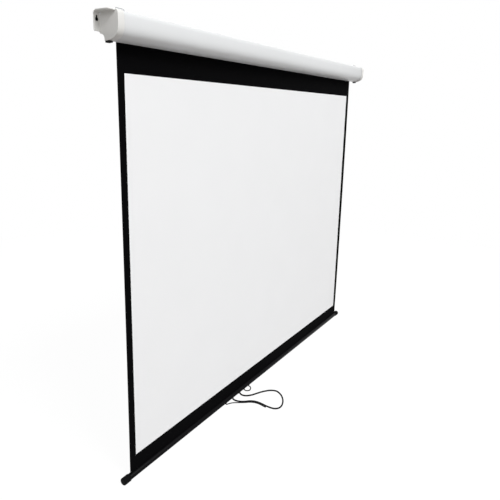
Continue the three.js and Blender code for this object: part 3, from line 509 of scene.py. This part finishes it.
# Bar caps and eyelets: moulded black ABS with a fine matt texture
black_moulded_abs = mottled(
    "black_moulded_abs", "#09090a", "#070708", grain_mm=0.6, depth_mm=0.03, rough=(0.5, 0.62),
    patch_mm=15.0, Specular_IOR_Level=0.05)


def coated_cloth(name, white):
    """Woven glass-fibre base with a matt vinyl skin: a fine weave shows through as a soft relief.
    With white, the viewing area is white inside a printed black border; the mask is 1 where the
    UV map, which is X and Z in metres, lies inside the area's edges."""
    thread_mm, weave_depth_mm, weave_strength = 1.6, 0.02, 0.4  # the real threads are finer
    material, tree, shader = start_finish(name, {"Roughness": 0.95, "Specular IOR Level": 0.03})
    flat = add(tree, "UVMap", {"uv_map": "along"}).outputs[0]
    threads = TURN / thread_mm / MM / 2
    parts = add(tree, "SeparateXYZ", Vector=flat)
    waves = []
    for number in (0, 1):
        phase = maths(tree, "MULTIPLY", parts.outputs[number], threads)
        waves.append(maths(tree, "SINE", phase))
    bump(tree, shader, maths(tree, "MULTIPLY", *waves), weave_depth_mm, weave_strength)
    cloud = noise(tree, flat, scale=6.0, detail=3.0)
    shade = two_tones(tree, cloud, "#050506", "#080809")
    if white:
        inside = maths(tree, "ABSOLUTE", parts.outputs[0])
        across = maths(tree, "LESS_THAN", inside, VIEW_WIDTH / 2 * MM)
        below = maths(tree, "LESS_THAN", parts.outputs[1], VIEW_TOP * MM)
        above = maths(tree, "GREATER_THAN", parts.outputs[1], VIEW_BOTTOM * MM)
        mask = maths(tree, "MULTIPLY", maths(tree, "MULTIPLY", across, below), above)
        pale = two_tones(tree, cloud, "#f1f2f3", "#f4f5f6")
        mix = add(tree, "Mix", {"data_type": "RGBA"}, in_0=mask, in_6=shade, in_7=pale)
        shade = mix.outputs[2]
    tree.links.new(shade, shader.inputs["Base Color"])
    return material


# Screen cloth: matt white face with a printed black border, and a black light-stopping back
white_screen_face = coated_cloth("white_screen_face", True)
black_screen_back = coated_cloth("black_screen_back", False)


def braided_cord(name):
    """Braid of fine black yarn: two sets of plaits cross as they wind round, so the height is the
    greater of two sine waves in (length + way round) and (length - way round)."""
    plait_mm, plait_depth_mm, plait_strength = 1.9, 0.12, 0.8
    material, tree, shader = start_finish(name, {
        "Roughness": 0.8, "Specular IOR Level": 0.12, "Sheen Weight": 0.06, "Sheen Roughness": 0.5})
    along = add(tree, "UVMap", {"uv_map": "along"}).outputs[0]
    parts = add(tree, "SeparateXYZ", Vector=along)
    plait = TURN / (plait_mm * MM)
    heights = []
    for operation in ("ADD", "SUBTRACT"):
        slant = maths(tree, operation, parts.outputs[0], parts.outputs[1])
        heights.append(maths(tree, "SINE", maths(tree, "MULTIPLY", slant, plait)))
    top = maths(tree, "MAXIMUM", *heights)
    # The colour follows the height: painted shade in the plaits' hollows and a painted sheen on their
    # crests, on top of the bump's own shading
    tree.links.new(two_tones(tree, top, "#050506", "#161618"), shader.inputs["Base Color"])
    bump(tree, shader, top, plait_depth_mm, plait_strength)
    return material


black_braid = braided_cord("black_braid")


# Pull cords

EYELET_XS = (-275.0, -231.0, -183.0, -151.0, -118.0)
EYELET_SLANT = math.radians(40.0)  # below the level line towards the room
EYELET_OUT = np.array([0.0, -math.cos(EYELET_SLANT), -math.sin(EYELET_SLANT)])
CORD_RADIUS, SIDE_CORD_RADIUS, SHORT_CORD_RADIUS, CORD_LEAD = 3.0, 1.9, 2.1, 2.0
KNOT_RADIUS, KNOT_LENGTH = 2.9, 7.0
EYELET_LOW, EYELET_FACE = BAR_RADIUS + 0.15, BAR_RADIUS + 1.0
CORD_FACE = EYELET_FACE + GAP

LONG_LOOP = np.array([
    (-188, -33), (-184, -49), (-168, -64), (-146, -75), (-118, -90), (-96, -109), (-88, -130),
    (-99, -155), (-119, -175), (-142, -189), (-169, -197), (-187, -194), (-197, -183),
    (-200, -166), (-199, -146), (-196, -122), (-197, -101), (-205, -83), (-220, -67),
    (-231, -49), (-234, -33)], float)
SIDE_STRAND = np.array([
    (-267, -24), (-253, -33), (-243, -45), (-234, -58), (-224, -71), (-211, -86), (-204, -101),
    (-202, -121), (-206, -145)], float)
SHORT_LOOP = np.array([(-152, -28), (-143, -38), (-126, -34), (-117, -24)], float)


def on_bar(x, distance):
    """Point at a distance from the bar's middle, on the line that the eyelet at x looks along."""
    return np.array([x, CLOTH_Y, BAR_Z]) + EYELET_OUT * distance


def cord_route(start_x, floor_points, end_x, radius):
    """The source's route points: out of an eyelet, over the floor and, for a loop, into another."""
    level = np.full((len(floor_points), 1), FLOOR_Z + radius)
    route = [on_bar(start_x, CORD_FACE), on_bar(start_x, CORD_FACE + CORD_LEAD)]
    route += list(np.hstack([floor_points, level]))
    if end_x is not None:
        route += [on_bar(end_x, CORD_FACE + CORD_LEAD), on_bar(end_x, CORD_FACE)]
    return np.array(route)


def smooth_route(route, steps=14):
    """Curve through all points: between two neighbours it is the cubic whose slopes come from the
    points' distances to the power of one half, as in a centripetal Catmull-Rom curve."""
    ends = (2 * route[0] - route[1], 2 * route[-1] - route[-2])
    points = np.vstack([ends[0], route, ends[1]])
    a, b, c, d = points[:-3], points[1:-2], points[2:-1], points[3:]
    ta, tb, tc = (
        np.sqrt(np.linalg.norm(q - p, axis=-1))[:, None] for p, q in ((a, b), (b, c), (c, d)))
    slope_b = tb * ((b - a) / ta - (c - a) / (ta + tb) + (c - b) / tb)
    slope_c = tb * ((c - b) / tb - (d - b) / (tb + tc) + (d - c) / tc)
    t = np.linspace(0, 1, steps, endpoint=False)[:, None, None]
    curve = (b + slope_b * t + (3 * (c - b) - 2 * slope_b - slope_c) * t ** 2
             + (2 * (b - c) + slope_b + slope_c) * t ** 3)
    return np.vstack([curve.transpose(1, 0, 2).reshape(-1, 3), route[-1:]])


def make_knot():
    """Overhand knot: the trefoil (sin t + 2 sin 2t, cos t - 2 cos 2t, -sin 3t), drawn tight and
    stretched to the place that the source's knot has."""
    strand, reach, half_size, nearly_up = 1.3, (3.0, 3.0, 1.0), (1.6, 2.2, 1.5), (0.12, 0.08, 1.0)
    x, y = SIDE_STRAND[-1]
    middle = (x, y - GAP - KNOT_LENGTH / 2, FLOOR_Z + KNOT_RADIUS)
    t = np.linspace(0, TURN, 120)
    shape = np.stack([np.sin(t) + 2 * np.sin(2 * t), np.cos(t) - 2 * np.cos(2 * t), -np.sin(3 * t)], -1)
    return tube(shape / reach * half_size + middle, strand, nearly_up, sides=12)


for name, start_x, floor_points, end_x, radius in (
        ("pull_cord", EYELET_XS[2], LONG_LOOP, EYELET_XS[1], CORD_RADIUS),
        ("side_cord", EYELET_XS[0], SIDE_STRAND, None, SIDE_CORD_RADIUS),
        ("short_cord", EYELET_XS[3], SHORT_LOOP, EYELET_XS[4], SHORT_CORD_RADIUS)):
    path = smooth_route(cord_route(start_x, floor_points, end_x, radius))
    piece = make_piece(
        f"{name}_braid", [tube(path, radius, (0, 0, 1), sides=14)], black_braid, "cords", (name,))
knot = make_piece("side_cord_knot", [make_knot()], black_braid, "cords", ("cord_knot",))


# Case and end caps

def front_line(steps=36):
    """The case's outer line from its top back corner over the front down to the lip: flat, then two
    Bezier curves that meet where the front is upright."""
    flat_end, top_handle, lip_end, low_handle = -58.4, -63.68, -18.8, (-58.07, -44.0)
    shoulder_handle, upright, front_handle = 12.5, -5.5, -30.92
    front, low = -CASE_DEPTH, CASE_TOP - CASE_HEIGHT
    return without_repeats(np.vstack([
        [(-BACK_CORNER, CASE_TOP), (flat_end, CASE_TOP)],
        bezier(
            (flat_end, CASE_TOP), (top_handle, CASE_TOP), (front, shoulder_handle), (front, upright),
            steps=steps // 2),
        bezier((front, upright), (front, front_handle), low_handle, (lip_end, low), steps=steps)]))


def notch_line(wall_start, wall_end, steps=12):
    """Round roof of the notch over the cloth's slot, between two distances from the wall."""
    start, end = (
        math.degrees(math.acos(max(-1.0, (NOTCH_MIDDLE - w) / NOTCH_RADIUS)))
        for w in (wall_start, wall_end))
    return arc((-NOTCH_MIDDLE, CASE_TOP - NOTCH_DROP), NOTCH_RADIUS, start, end, steps)


def case_section():
    """Outer line, then the inner line back, which goes round the screw port under the top."""
    roof = [
        CASE_TOP - NOTCH_DROP + math.sqrt(NOTCH_RADIUS ** 2 - (w - NOTCH_MIDDLE) ** 2)
        for w in (SLOT_BACK, BACK_FOOT)]
    back = np.vstack([
        [(-SLOT_BACK, roof[0]), (-BACK_FOOT, roof[1]), (0.0, CASE_TOP - BACK_HEIGHT)],
        arc((-BACK_CORNER, CASE_TOP - BACK_CORNER), BACK_CORNER, 0, 90, 12)])
    front = np.vstack([front_line()[1:], notch_line(LIP_INNER, SLOT_FRONT)[1:]])
    outer = np.vstack([back, front])
    inner = beside(outer, CASE_WALL)
    half = math.degrees(math.asin((CASE_TOP - CASE_WALL - PORT_Z) / PORT_RADIUS))
    port = arc((PORT_Y, PORT_Z), PORT_RADIUS, 180 - half, 360 + half, 28)
    return np.vstack([outer, inner[len(back):][::-1], port, inner[:len(back)][::-1]])


bore = circle((PORT_Y, PORT_Z), PORT_BORE, 20)
make_piece(
    "case_extrusion",
    [plate("x", -CASE_HALF, CASE_HALF, case_section(), [bore], edge=0.15, steps=2)],
    white_powder_coat, "housing", ("case",))


def keyhole_outline():
    """Round hole with a narrow slot above it, in Z and X."""
    half = math.degrees(math.asin(KEY_SLOT_RADIUS / KEYHOLE_RADIUS))
    hole = arc((0.0, KEYHOLE_X), KEYHOLE_RADIUS, half, 360 - half, 32)
    slot = arc((KEY_SLOT_RISE - KEY_SLOT_RADIUS, KEYHOLE_X), KEY_SLOT_RADIUS, -90, 90, 12)
    return np.vstack([hole, slot])


def end_cap(side):
    """Side wall, skirt over the case, wall ear with its keyhole, ceiling flange and two bosses. The
    shells reach into each other, and a cut starts and ends outside what it goes through."""
    ear_front, ear_back, ear_height, ear_width = -4.8, -3.3, 45.5, 18.0
    flange_front, flange_width, flange_wall = -57.0, 20.0, 3.0
    lip_width, lip_back = 1.4, -4.3
    boss_apart, boss_rise, boss_radius, boss_bore, boss_length = 21.0, 17.0, 4.0, 1.9, 8.0
    ear_corners, flange_corners = (0, 0, 6.0, 4.0), (0, 7.0, 14.0, 0)
    root, deep_root, past, cut_front, cut_back = CAP_INNER + 1, CAP_INNER + 1.5, 2, -10.0, 5.0
    line = front_line()
    proud, close = beside(line, -CAP_PROUD), beside(line, -GAP)
    wall = np.vstack([
        [(0.0, CAP_TOP)], proud, notch_line(LIP_INNER, BACK_FOOT), [(0.0, CASE_TOP - BACK_HEIGHT)]])
    ear = round_box((CASE_TOP - ear_height, root), (CAP_TOP, CAP_OUTER + ear_width), ear_corners)
    flange = round_box((root, flange_front), (CAP_OUTER + flange_width, ear_back), flange_corners)
    shells = [
        plate("x", CAP_INNER, CAP_OUTER, without_repeats(wall), edge=0.8, steps=4),
        plate("x", CAP_OUTER - CAP_SKIRT, deep_root, np.vstack([proud, close[::-1]]), edge=0.3),
        plate("y", ear_front, ear_back, ear, edge=0.35),
        plate("z", CAP_TOP - flange_wall, CAP_TOP, flange, edge=0.6),
    ]
    cuts = [
        plate("y", cut_front, cut_back, keyhole_outline()),
        plate("y", lip_back, cut_back, beside_loop(keyhole_outline(), lip_width)),
        plate("x", CAP_INNER - past, CAP_OUTER + past, circle((PORT_Y, PORT_Z), PORT_BORE, 24)),
    ]
    for way in (-1, 1):
        centre = (ROLLER_Y + way * boss_apart, ROLLER_Z + boss_rise)
        shells.append(
            plate("x", CAP_INNER - boss_length, deep_root, circle(centre, boss_radius, 32), edge=0.3))
        cuts.append(
            plate("x", CAP_INNER - boss_length - past, CAP_INNER, circle(centre, boss_bore, 24)))
    return [for_side(s, side) for s in shells], [for_side(s, side) for s in cuts]


def wall_pad(side):
    """Foam pad between the ear and the wall, with the same keyhole, and a thin black sheet on the wall's
    side, which runs across the keyhole: painted shade that closes the hole so that it reads dark."""
    height, width, inset, thickness, corners = 44.5, 14.2, 1.0, 3.0, (0.5, 0.5, 4.0, 4.0)
    sheet_front, sheet_back, sheet_border = -0.5, -0.1, 0.8
    outline = round_box(
        (CASE_TOP - height, CAP_OUTER + inset), (CASE_TOP - inset, CAP_OUTER + width), corners)
    foam = plate("y", -thickness, 0.0, outline, [keyhole_outline()], edge=0.3)
    # The black sheet across the keyhole is painted shade, put where the hole would show its dark inside
    shade_sheet = plate("y", sheet_front, sheet_back, beside_loop(keyhole_outline(), sheet_border))
    return [for_side(foam, side), for_side(shade_sheet, side)]


def stop_pad(side):
    """Rubber stop under the cap: the low part of the case's line, moved out by two distances."""
    below, front, near, thickness, inset, length = 20.0, -31.8, CAP_PROUD + GAP, 3.5, 1.5, 14.0
    line = front_line()
    line = line[(line[:, 1] < CASE_TOP - below) & (line[:, 0] > front)]
    section = np.vstack([beside(line, -near - thickness), beside(line, -near)[::-1]])
    end = CAP_OUTER - inset
    return for_side(plate("x", end - length, end, section, edge=0.9, steps=4), side)


def cross_screw(side):
    """Pan-head screw: a shank, a flat underside and a crown that is a flattened dome, with a cross."""
    shank_radius, shank_length, head_radius, rim, crown_rise = 1.5, 15, 2.6, 0.5, 1.0
    slot_reach, slot_half, slot_floor, slot_end = 1.7, 0.35, 0.8, 4
    head = CAP_OUTER + GAP
    crown = np.radians(np.linspace(90, 0, 8))[:-1]
    dome = np.stack([head + rim + crown_rise * np.cos(crown), head_radius * np.sin(crown)], -1)
    profile = np.vstack([
        [(head - shank_length, 0), (head - shank_length + shank_radius, shank_radius),
         (head, shank_radius), (head, head_radius)],
        dome, [(head + rim + crown_rise, 0)]])
    body, slots = for_side(turned(profile, (0, PORT_Y, PORT_Z), sides=32), side), []
    for a, b in ((slot_reach, slot_half), (slot_half, slot_reach)):
        outline = round_box((PORT_Y - a, PORT_Z - b), (PORT_Y + a, PORT_Z + b), (0, 0, 0, 0))
        slots.append(for_side(plate("x", head + slot_floor, head + slot_end, outline), side))
    return [body], slots


for word, side in SIDES:
    shells, cuts = end_cap(side)
    make_piece(
        f"{word}_moulded_cap", shells, off_white_abs, "housing", (f"{word}_end_cap",),
        cuts=cuts)
    shells, cuts = cross_screw(side)
    make_piece(
        f"{word}_cross_screw", shells, pale_screw_steel, "housing", (f"{word}_cap_screw",),
        cuts=cuts)
    # The pad piece also holds the black sheet across each keyhole, which is painted shade
    make_piece(
        f"{word}_foam_pad", wall_pad(side), black_foam_and_painted_shade, "housing", (f"{word}_wall_pad",),
        cuts=())
    make_piece(
        f"{word}_rubber_stop", [stop_pad(side)], black_rubber, "housing", (f"{word}_bumper",))


# Hanging loops and their clips

def loop_path():
    """The bent wire's middle line: from the seam over two bends to the crown, and the same back."""
    width, height, foot, bend, half_seam = 36.0, 12.0, 3.5, 10.0, 0.3
    half, crown, low = width / 2 - LOOP_WIRE, CASE_TOP + height - LOOP_WIRE, LOOP_AXIS_Z
    right = np.vstack([
        [(half_seam, low)], bezier((half - foot, low), (half, low), (half, low + foot)),
        bezier((half, low + foot), (half, crown), (half - bend, crown))])
    flat = without_repeats(np.vstack([right, right[::-1] * (-1, 1)]))
    return np.stack([LOOP_X + flat[:, 0], np.full(len(flat), LOOP_Y), flat[:, 1]], -1)


def loop_clip(side):
    """Saddle clip: a strip with a round hump over the wire, and a domed rivet each side of it."""
    wall, half_width, half_length = 1.0, 7, 8
    rivet_apart, rivet_radius, rivet_rise = 4.8, 1.6, 0.5
    base = CASE_TOP + GAP
    strip = base + wall
    bore = LOOP_WIRE + GAP
    rise = math.degrees(math.asin((LOOP_AXIS_Z - strip) / (bore + wall)))
    low, high = LOOP_Y - half_width, LOOP_Y + half_width
    section = np.vstack([
        [(low, base), (high, base), (high, strip)],
        arc((LOOP_Y, LOOP_AXIS_Z), bore + wall, -rise, 180 + rise, 28), [(low, strip)]])
    eye = circle((LOOP_Y, LOOP_AXIS_Z), bore, 32)
    clip = plate("x", LOOP_X - half_length, LOOP_X + half_length, section, [eye], edge=0.25)
    dome = np.radians(np.linspace(0, 90, 7))
    profile = np.vstack([
        [(-rivet_rise, 0), (-rivet_rise, rivet_radius)],
        np.stack([rivet_rise * np.sin(dome), rivet_radius * np.cos(dome)], -1)])
    rivets = [
        turned(profile, (LOOP_X, LOOP_Y + way * rivet_apart, strip), axis=(0, 0, 1), sides=24)
        for way in (-1, 1)]
    return [for_side(s, side) for s in [clip, *rivets]]


for word, side in SIDES:
    wire = for_side(tube(loop_path(), LOOP_WIRE, (0, 1, 0), sides=20), side)
    make_piece(
        f"{word}_wire_loop", [wire], bright_drawn_steel, f"{word}_loop", (f"{word}_hanging_loop",))
    make_piece(
        f"{word}_saddle_clip", loop_clip(side), zinc_plated_steel, "housing", (f"{word}_loop_clip",),
        cuts=())


# Cloth

CLOTH_TOP = ROLLER_Z
CLOTH_BOTTOM = HEM_TOP + GAP
CURL_WIDTH, CURL_DEPTH, WAVE_DEPTH = 14.0, 1.7, 0.35


def cloth_depth(x, z):
    """How far the cloth's middle stands towards the room from its plane. Its outer edges curl
    forwards by a square law, most at mid height, and shallow waves cross it: the sum of a product
    of two sines of X and Z and half a slanting sine. Both end at the roller and at the hem."""
    reach, power, phase_x, phase_z = 1.02, 0.6, 0.6, 1.0
    wave_x, wave_z, slant_x, slant_z = 210.0, 330.0, 95.0, 260.0
    height = np.clip((CLOTH_TOP - z) / (CLOTH_TOP - CLOTH_BOTTOM), 0, 1)
    ease = np.sin(math.pi * np.clip(height * reach, 0, 1)) ** power
    edge = np.clip((np.abs(x) - (CLOTH_WIDTH / 2 - CURL_WIDTH)) / CURL_WIDTH, 0, 1) ** 2
    wave = np.sin(x / wave_x + phase_x) * np.sin(z / wave_z + phase_z)
    wave += 0.5 * np.sin(x / slant_x + z / slant_z)
    return ease * (CURL_DEPTH * edge + WAVE_DEPTH * wave)


def cloth_shell(columns, rows, top, bottom, depth):
    """Sheet of two grids of points, joined round its four edges, and the count of its front faces:
    at (x, z) the faces lie half the thickness before and behind CLOTH_Y - depth(x, z)."""
    side, fine, more = CLOTH_WIDTH / 2, 16, 9  # the columns stand closer in the outermost stretches
    x = np.concatenate([
        np.linspace(-side, fine - side, more)[:-1],
        np.linspace(fine - side, side - fine, columns),
        np.linspace(side - fine, side, more)[1:]])
    z = np.linspace(top, bottom, rows)
    grid_x, grid_z = np.meshgrid(x, z)
    middle = CLOTH_Y - depth(grid_x, grid_z)
    sides = [
        np.stack([grid_x, middle + way * CLOTH_THICKNESS / 2, grid_z], -1).reshape(-1, 3)
        for way in (-1, 1)]
    n = rows * len(x)
    quads = lattice(rows, len(x))[0]
    front, back = quads[:, ::-1], quads + n
    row_edge, column_edge = np.arange(len(x)), np.arange(rows) * len(x)
    around = np.concatenate([
        row_edge, column_edge[1:] + len(x) - 1, (rows - 1) * len(x) + row_edge[::-1][1:],
        column_edge[::-1][1:-1]])
    after = np.roll(around, -1)
    rim = np.stack([around, after, after + n, around + n], -1)
    points = np.vstack(sides)
    quads = np.vstack([front, back, rim])
    uv = points[quads][..., [0, 2]] * MM
    return Shell(points, quads, uv=uv), len(front)


def make_cloth(name, grid, body, replaced):
    """Cloth piece whose front has the screen's face and whose back and edges are black. The grid
    is what cloth_shell() asks for: columns, rows, top, bottom and depth."""
    shell, front = cloth_shell(*grid)
    piece = make_piece(
        name, [shell], [white_screen_face, black_screen_back], body, replaced, sharp=60.0)
    index = np.ones(len(piece.data.polygons), int)
    index[:front] = 0
    piece.data.polygons.foreach_set("material_index", index)
    return piece


CLOTH_COLUMNS, CLOTH_ROWS, HEM_ROWS = 84, 110, 6
screen_cloth = make_cloth(
    "screen_cloth", (CLOTH_COLUMNS, CLOTH_ROWS, CLOTH_TOP, CLOTH_BOTTOM, cloth_depth), "housing",
    ("viewing_area", "black_border"))
hem_cloth = make_cloth(
    "hem_cloth", (CLOTH_COLUMNS, HEM_ROWS, CLOTH_BOTTOM, BATTEN_TOP + GAP, lambda x, z: x * 0), "bar",
    ("cloth_hem",))


def wound_cloth():
    """Turns left on the roller: a spiral whose radius grows by the same rise with each turn,
    closed as one thin band. The band is thinner than the cloth, so that its turns stay apart."""
    turns, steps, first_radius, rise, half_band = 3, 192, 19.52, 0.32, 0.14
    angle = np.linspace(0, TURN * turns, steps + 1)
    radius = first_radius + rise * angle / TURN
    normal = np.stack([np.cos(angle), np.sin(angle)], -1)
    line = (ROLLER_Y, ROLLER_Z) + radius[:, None] * normal
    section = np.vstack([line + half_band * normal, (line - half_band * normal)[::-1]])
    return plate("x", -CLOTH_WIDTH / 2, CLOTH_WIDTH / 2, section)


roll = make_piece(
    "wound_cloth", [wound_cloth()], black_screen_back, "roller", ("cloth_roll",))

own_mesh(screen_cloth)


# Bottom bar

def bar_section():
    """Round tube with a slot above for the cloth and a drip groove below. In the groove the outer
    radius is where a ray from the middle meets the groove's circle."""
    half_slot, groove, hair = 1.3, 0.8, 1e-6
    reach = math.degrees(math.asin(groove / BAR_RADIUS))
    start = math.degrees(math.acos(half_slot / BAR_RADIUS))
    angle = np.concatenate([
        np.linspace(180 - start, 270 - reach, 40), np.linspace(270 - reach, 270 + reach, 13)[1:-1],
        np.linspace(270 + reach, 360 + start, 40)])
    away = np.radians(angle - 270)
    inside = np.maximum(groove ** 2 - (BAR_RADIUS * np.sin(away)) ** 2, 0)
    radius = np.where(
        np.abs(away) < math.radians(reach) - hair,
        BAR_RADIUS * np.cos(away) - np.sqrt(inside), BAR_RADIUS)
    a = np.radians(angle)
    outer = np.stack([CLOTH_Y + radius * np.cos(a), BAR_Z + radius * np.sin(a)], -1)
    bore = BAR_RADIUS - BAR_WALL
    end = math.degrees(math.acos(half_slot / bore))
    inner = arc((CLOTH_Y, BAR_Z), bore, 360 + end, 180 - end, 72)
    return np.vstack([outer, inner])


make_piece(
    "black_tube_bar", [plate("x", -BAR_HALF, BAR_HALF, bar_section(), edge=0.2, steps=2)],
    black_satin_enamel, "bar", ("bottom_bar",), sharp=40.0)


def bar_cap(side):
    """Cup over the bar's end: a rounded mouth, a shallow grip groove, a rounded rim and the bore."""
    mouth, mouth_middle, rim_radius, rim_lead = 0.5, 0.15, 3, 6.0
    groove, groove_width, groove_slope, groove_depth = 5.0, 1.8, 0.5, 0.45
    outer = BAR_HALF + GAP + BAR_CAP_END
    inner, floor = outer - BAR_CAP_LENGTH, outer - BAR_CAP_END
    bore, r = BAR_RADIUS + GAP, BAR_CAP_RADIUS
    start, end = inner + groove, inner + groove + groove_width
    turn = np.radians(np.linspace(0, 90, 10))
    rim = (outer, r) + rim_radius * (np.stack([np.sin(turn), np.cos(turn)], -1) - 1)
    profile = np.vstack([
        [(floor, 0), (floor, bore), (inner, bore), (inner, r - mouth),
         (inner + mouth_middle, r - mouth_middle), (inner + mouth, r), (start, r),
         (start + groove_slope, r - groove_depth), (end - groove_slope, r - groove_depth), (end, r),
         (outer - rim_lead, r)],
        rim, [(outer, 0)]])
    return for_side(turned(profile, (0, CLOTH_Y, BAR_Z), sides=64), side)


for word, side in SIDES:
    make_piece(
        f"{word}_moulded_bar_cap", [bar_cap(side)], black_moulded_abs, "bar", (f"{word}_bar_cap",))


def eyelet(x):
    """Pressed eyelet: flange with a rolled lip, and a shank through the bar's wall."""
    widest, shank_radius, bore, shank_end = 4.6, 2.6, 2.0, BAR_RADIUS - 1.9
    mouth = [(EYELET_FACE - deep, radius) for deep, radius in ((0.0, 3.3), (0.25, 2.6), (0.7, 2.1))]
    turn = np.radians(np.linspace(-90, 90, 8))
    r = (EYELET_FACE - EYELET_LOW) / 2
    lip = np.stack([EYELET_LOW + r + r * np.sin(turn), widest - r + r * np.cos(turn)], -1)
    shank = [(shank_end, bore), (shank_end, shank_radius), (EYELET_LOW, shank_radius)]
    profile = np.vstack([shank, lip, mouth])
    return turned(profile, (x, CLOTH_Y, BAR_Z), axis=EYELET_OUT, sides=32)


for number, x in enumerate(EYELET_XS, 1):
    make_piece(
        f"pressed_eyelet_{number}", [eyelet(x)], black_moulded_abs, "bar", (f"cord_eyelet_{number}",))


# Finishes of the hidden pieces

CARRIED_FINISHES = {
    zinc_plated_steel: ["left_bearing_plate", "right_bearing_plate", "roller_tube", "batten"],
    bright_drawn_steel: [
        "left_back_screw", "left_front_screw", "right_back_screw", "right_front_screw", "spring_rod",
        "ratchet_wheel", "torsion_spring", "idle_pin", "upper_pawl_pin", "lower_pawl_pin", "upper_pawl",
        "lower_pawl"],
    dark_filled_nylon: ["spring_anchor", "drive_plug", "idle_plug"],
    natural_nylon: ["idle_bush", "centre_bearing"],
}
for material, names in CARRIED_FINISHES.items():
    for name in names:
        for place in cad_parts[name].material_slots:
            place.material = material


# Floor, world and lamps

WORLD_LIGHT, WORLD_TINT = 0.26, (0.98, 0.99, 1.0, 1.0)
FLOOR_BOUNCE, FLOOR_PALE, FLOOR_GLOW = "#a09c9a", "#505050", 0.96


def seen_share(tree):
    """1 for a ray of the camera, of gloss or of glass, and 0 for other light."""
    rays = add(tree, "LightPath").outputs
    seen = maths(tree, "MAXIMUM", rays["Is Camera Ray"], rays["Is Glossy Ray"])
    return maths(tree, "MAXIMUM", seen, rays["Is Transmission Ray"])


def make_floor():
    """Wide pale floor just under the bar's caps. To the camera, to gloss and to glass it is white
    with the object's soft shadow; to other light it is a plain grey that sends little back."""
    reach, drop, fade_start, fade_end = 40000.0, 0.2, 1.6, 3.2  # the fade is in metres
    corners = ((-reach, -reach), (reach, -reach), (reach, reach), (-reach, reach))
    points = [(x, y, FLOOR_Z - drop) for x, y in corners]
    floor = new_object("floor", [Shell(points, [(0, 1, 2, 3)])])
    material, tree, shader = start_finish("pale_floor", {"Roughness": 0.9, "Specular IOR Level": 0.0})
    place = add(tree, "TexCoord").outputs["Object"]
    distance = add(tree, "VectorMath", {"operation": "LENGTH"}, in_0=place).outputs["Value"]
    fade = {"From Min": fade_start, "From Max": fade_end}
    far = add(tree, "MapRange", fade, Value=distance).outputs[0]
    seen = seen_share(tree)
    pale = two_tones(tree, seen, FLOOR_BOUNCE, FLOOR_PALE)
    tree.links.new(pale, shader.inputs["Base Color"])
    glow = add(tree, "Emission", {"Color": (1, 1, 1, 1), "Strength": FLOOR_GLOW})
    white = add(tree, "Emission", {"Color": (1, 1, 1, 1), "Strength": 1.0})
    near = add(tree, "AddShader", in_0=shader.outputs[0], in_1=glow.outputs[0])
    shown = add(tree, "MixShader", Fac=far, in_1=near.outputs[0], in_2=white.outputs[0])
    both = add(tree, "MixShader", Fac=seen, in_1=shader.outputs[0], in_2=shown.outputs[0])
    output = next(node for node in tree.nodes if node.type == "OUTPUT_MATERIAL")
    tree.links.new(both.outputs[0], output.inputs["Surface"])
    floor.data.materials.append(material)


def make_world():
    """Even grey light from all round, and plain white to the camera, to gloss and to glass."""
    world = bpy.data.worlds.new("studio")
    world.use_nodes = True
    tree = world.node_tree
    tree.nodes.clear()
    light, white = (
        add(tree, "Background", {"Color": tint, "Strength": strength}).outputs[0]
        for tint, strength in ((WORLD_TINT, WORLD_LIGHT), ((1.0, 1.0, 1.0, 1.0), 1.0)))
    mix = add(tree, "MixShader", Fac=seen_share(tree), in_1=light, in_2=white)
    add(tree, "OutputWorld", Surface=mix.outputs[0])
    bpy.context.scene.world = world


def make_lamp(name, place, target, size, watts):
    """Soft rectangular lamp at a place, turned to its target; metres and watts."""
    data = bpy.data.lights.new(name, "AREA")
    data.shape, data.size, data.size_y, data.energy = "RECTANGLE", size[0], size[1], watts
    lamp = bpy.data.objects.new(name, data)
    bpy.context.scene.collection.objects.link(lamp)
    turn = (Vector(target) - Vector(place)).to_track_quat("-Z", "Y")
    lamp.matrix_world = Matrix.Translation(place) @ turn.to_matrix().to_4x4()


make_floor()
make_world()
make_lamp(
    "key_softbox", place=(-1.6, -14.2, 13.3), target=(-3.0, 0.0, -0.6), size=(11.0, 7.8), watts=3700.0)
make_lamp(
    "left_softbox", place=(-4.2, -0.9, 1.7), target=(-0.7, -0.05, -0.1), size=(1.6, 1.6), watts=27.0)

bpy.context.scene.view_settings.view_transform = "Standard"
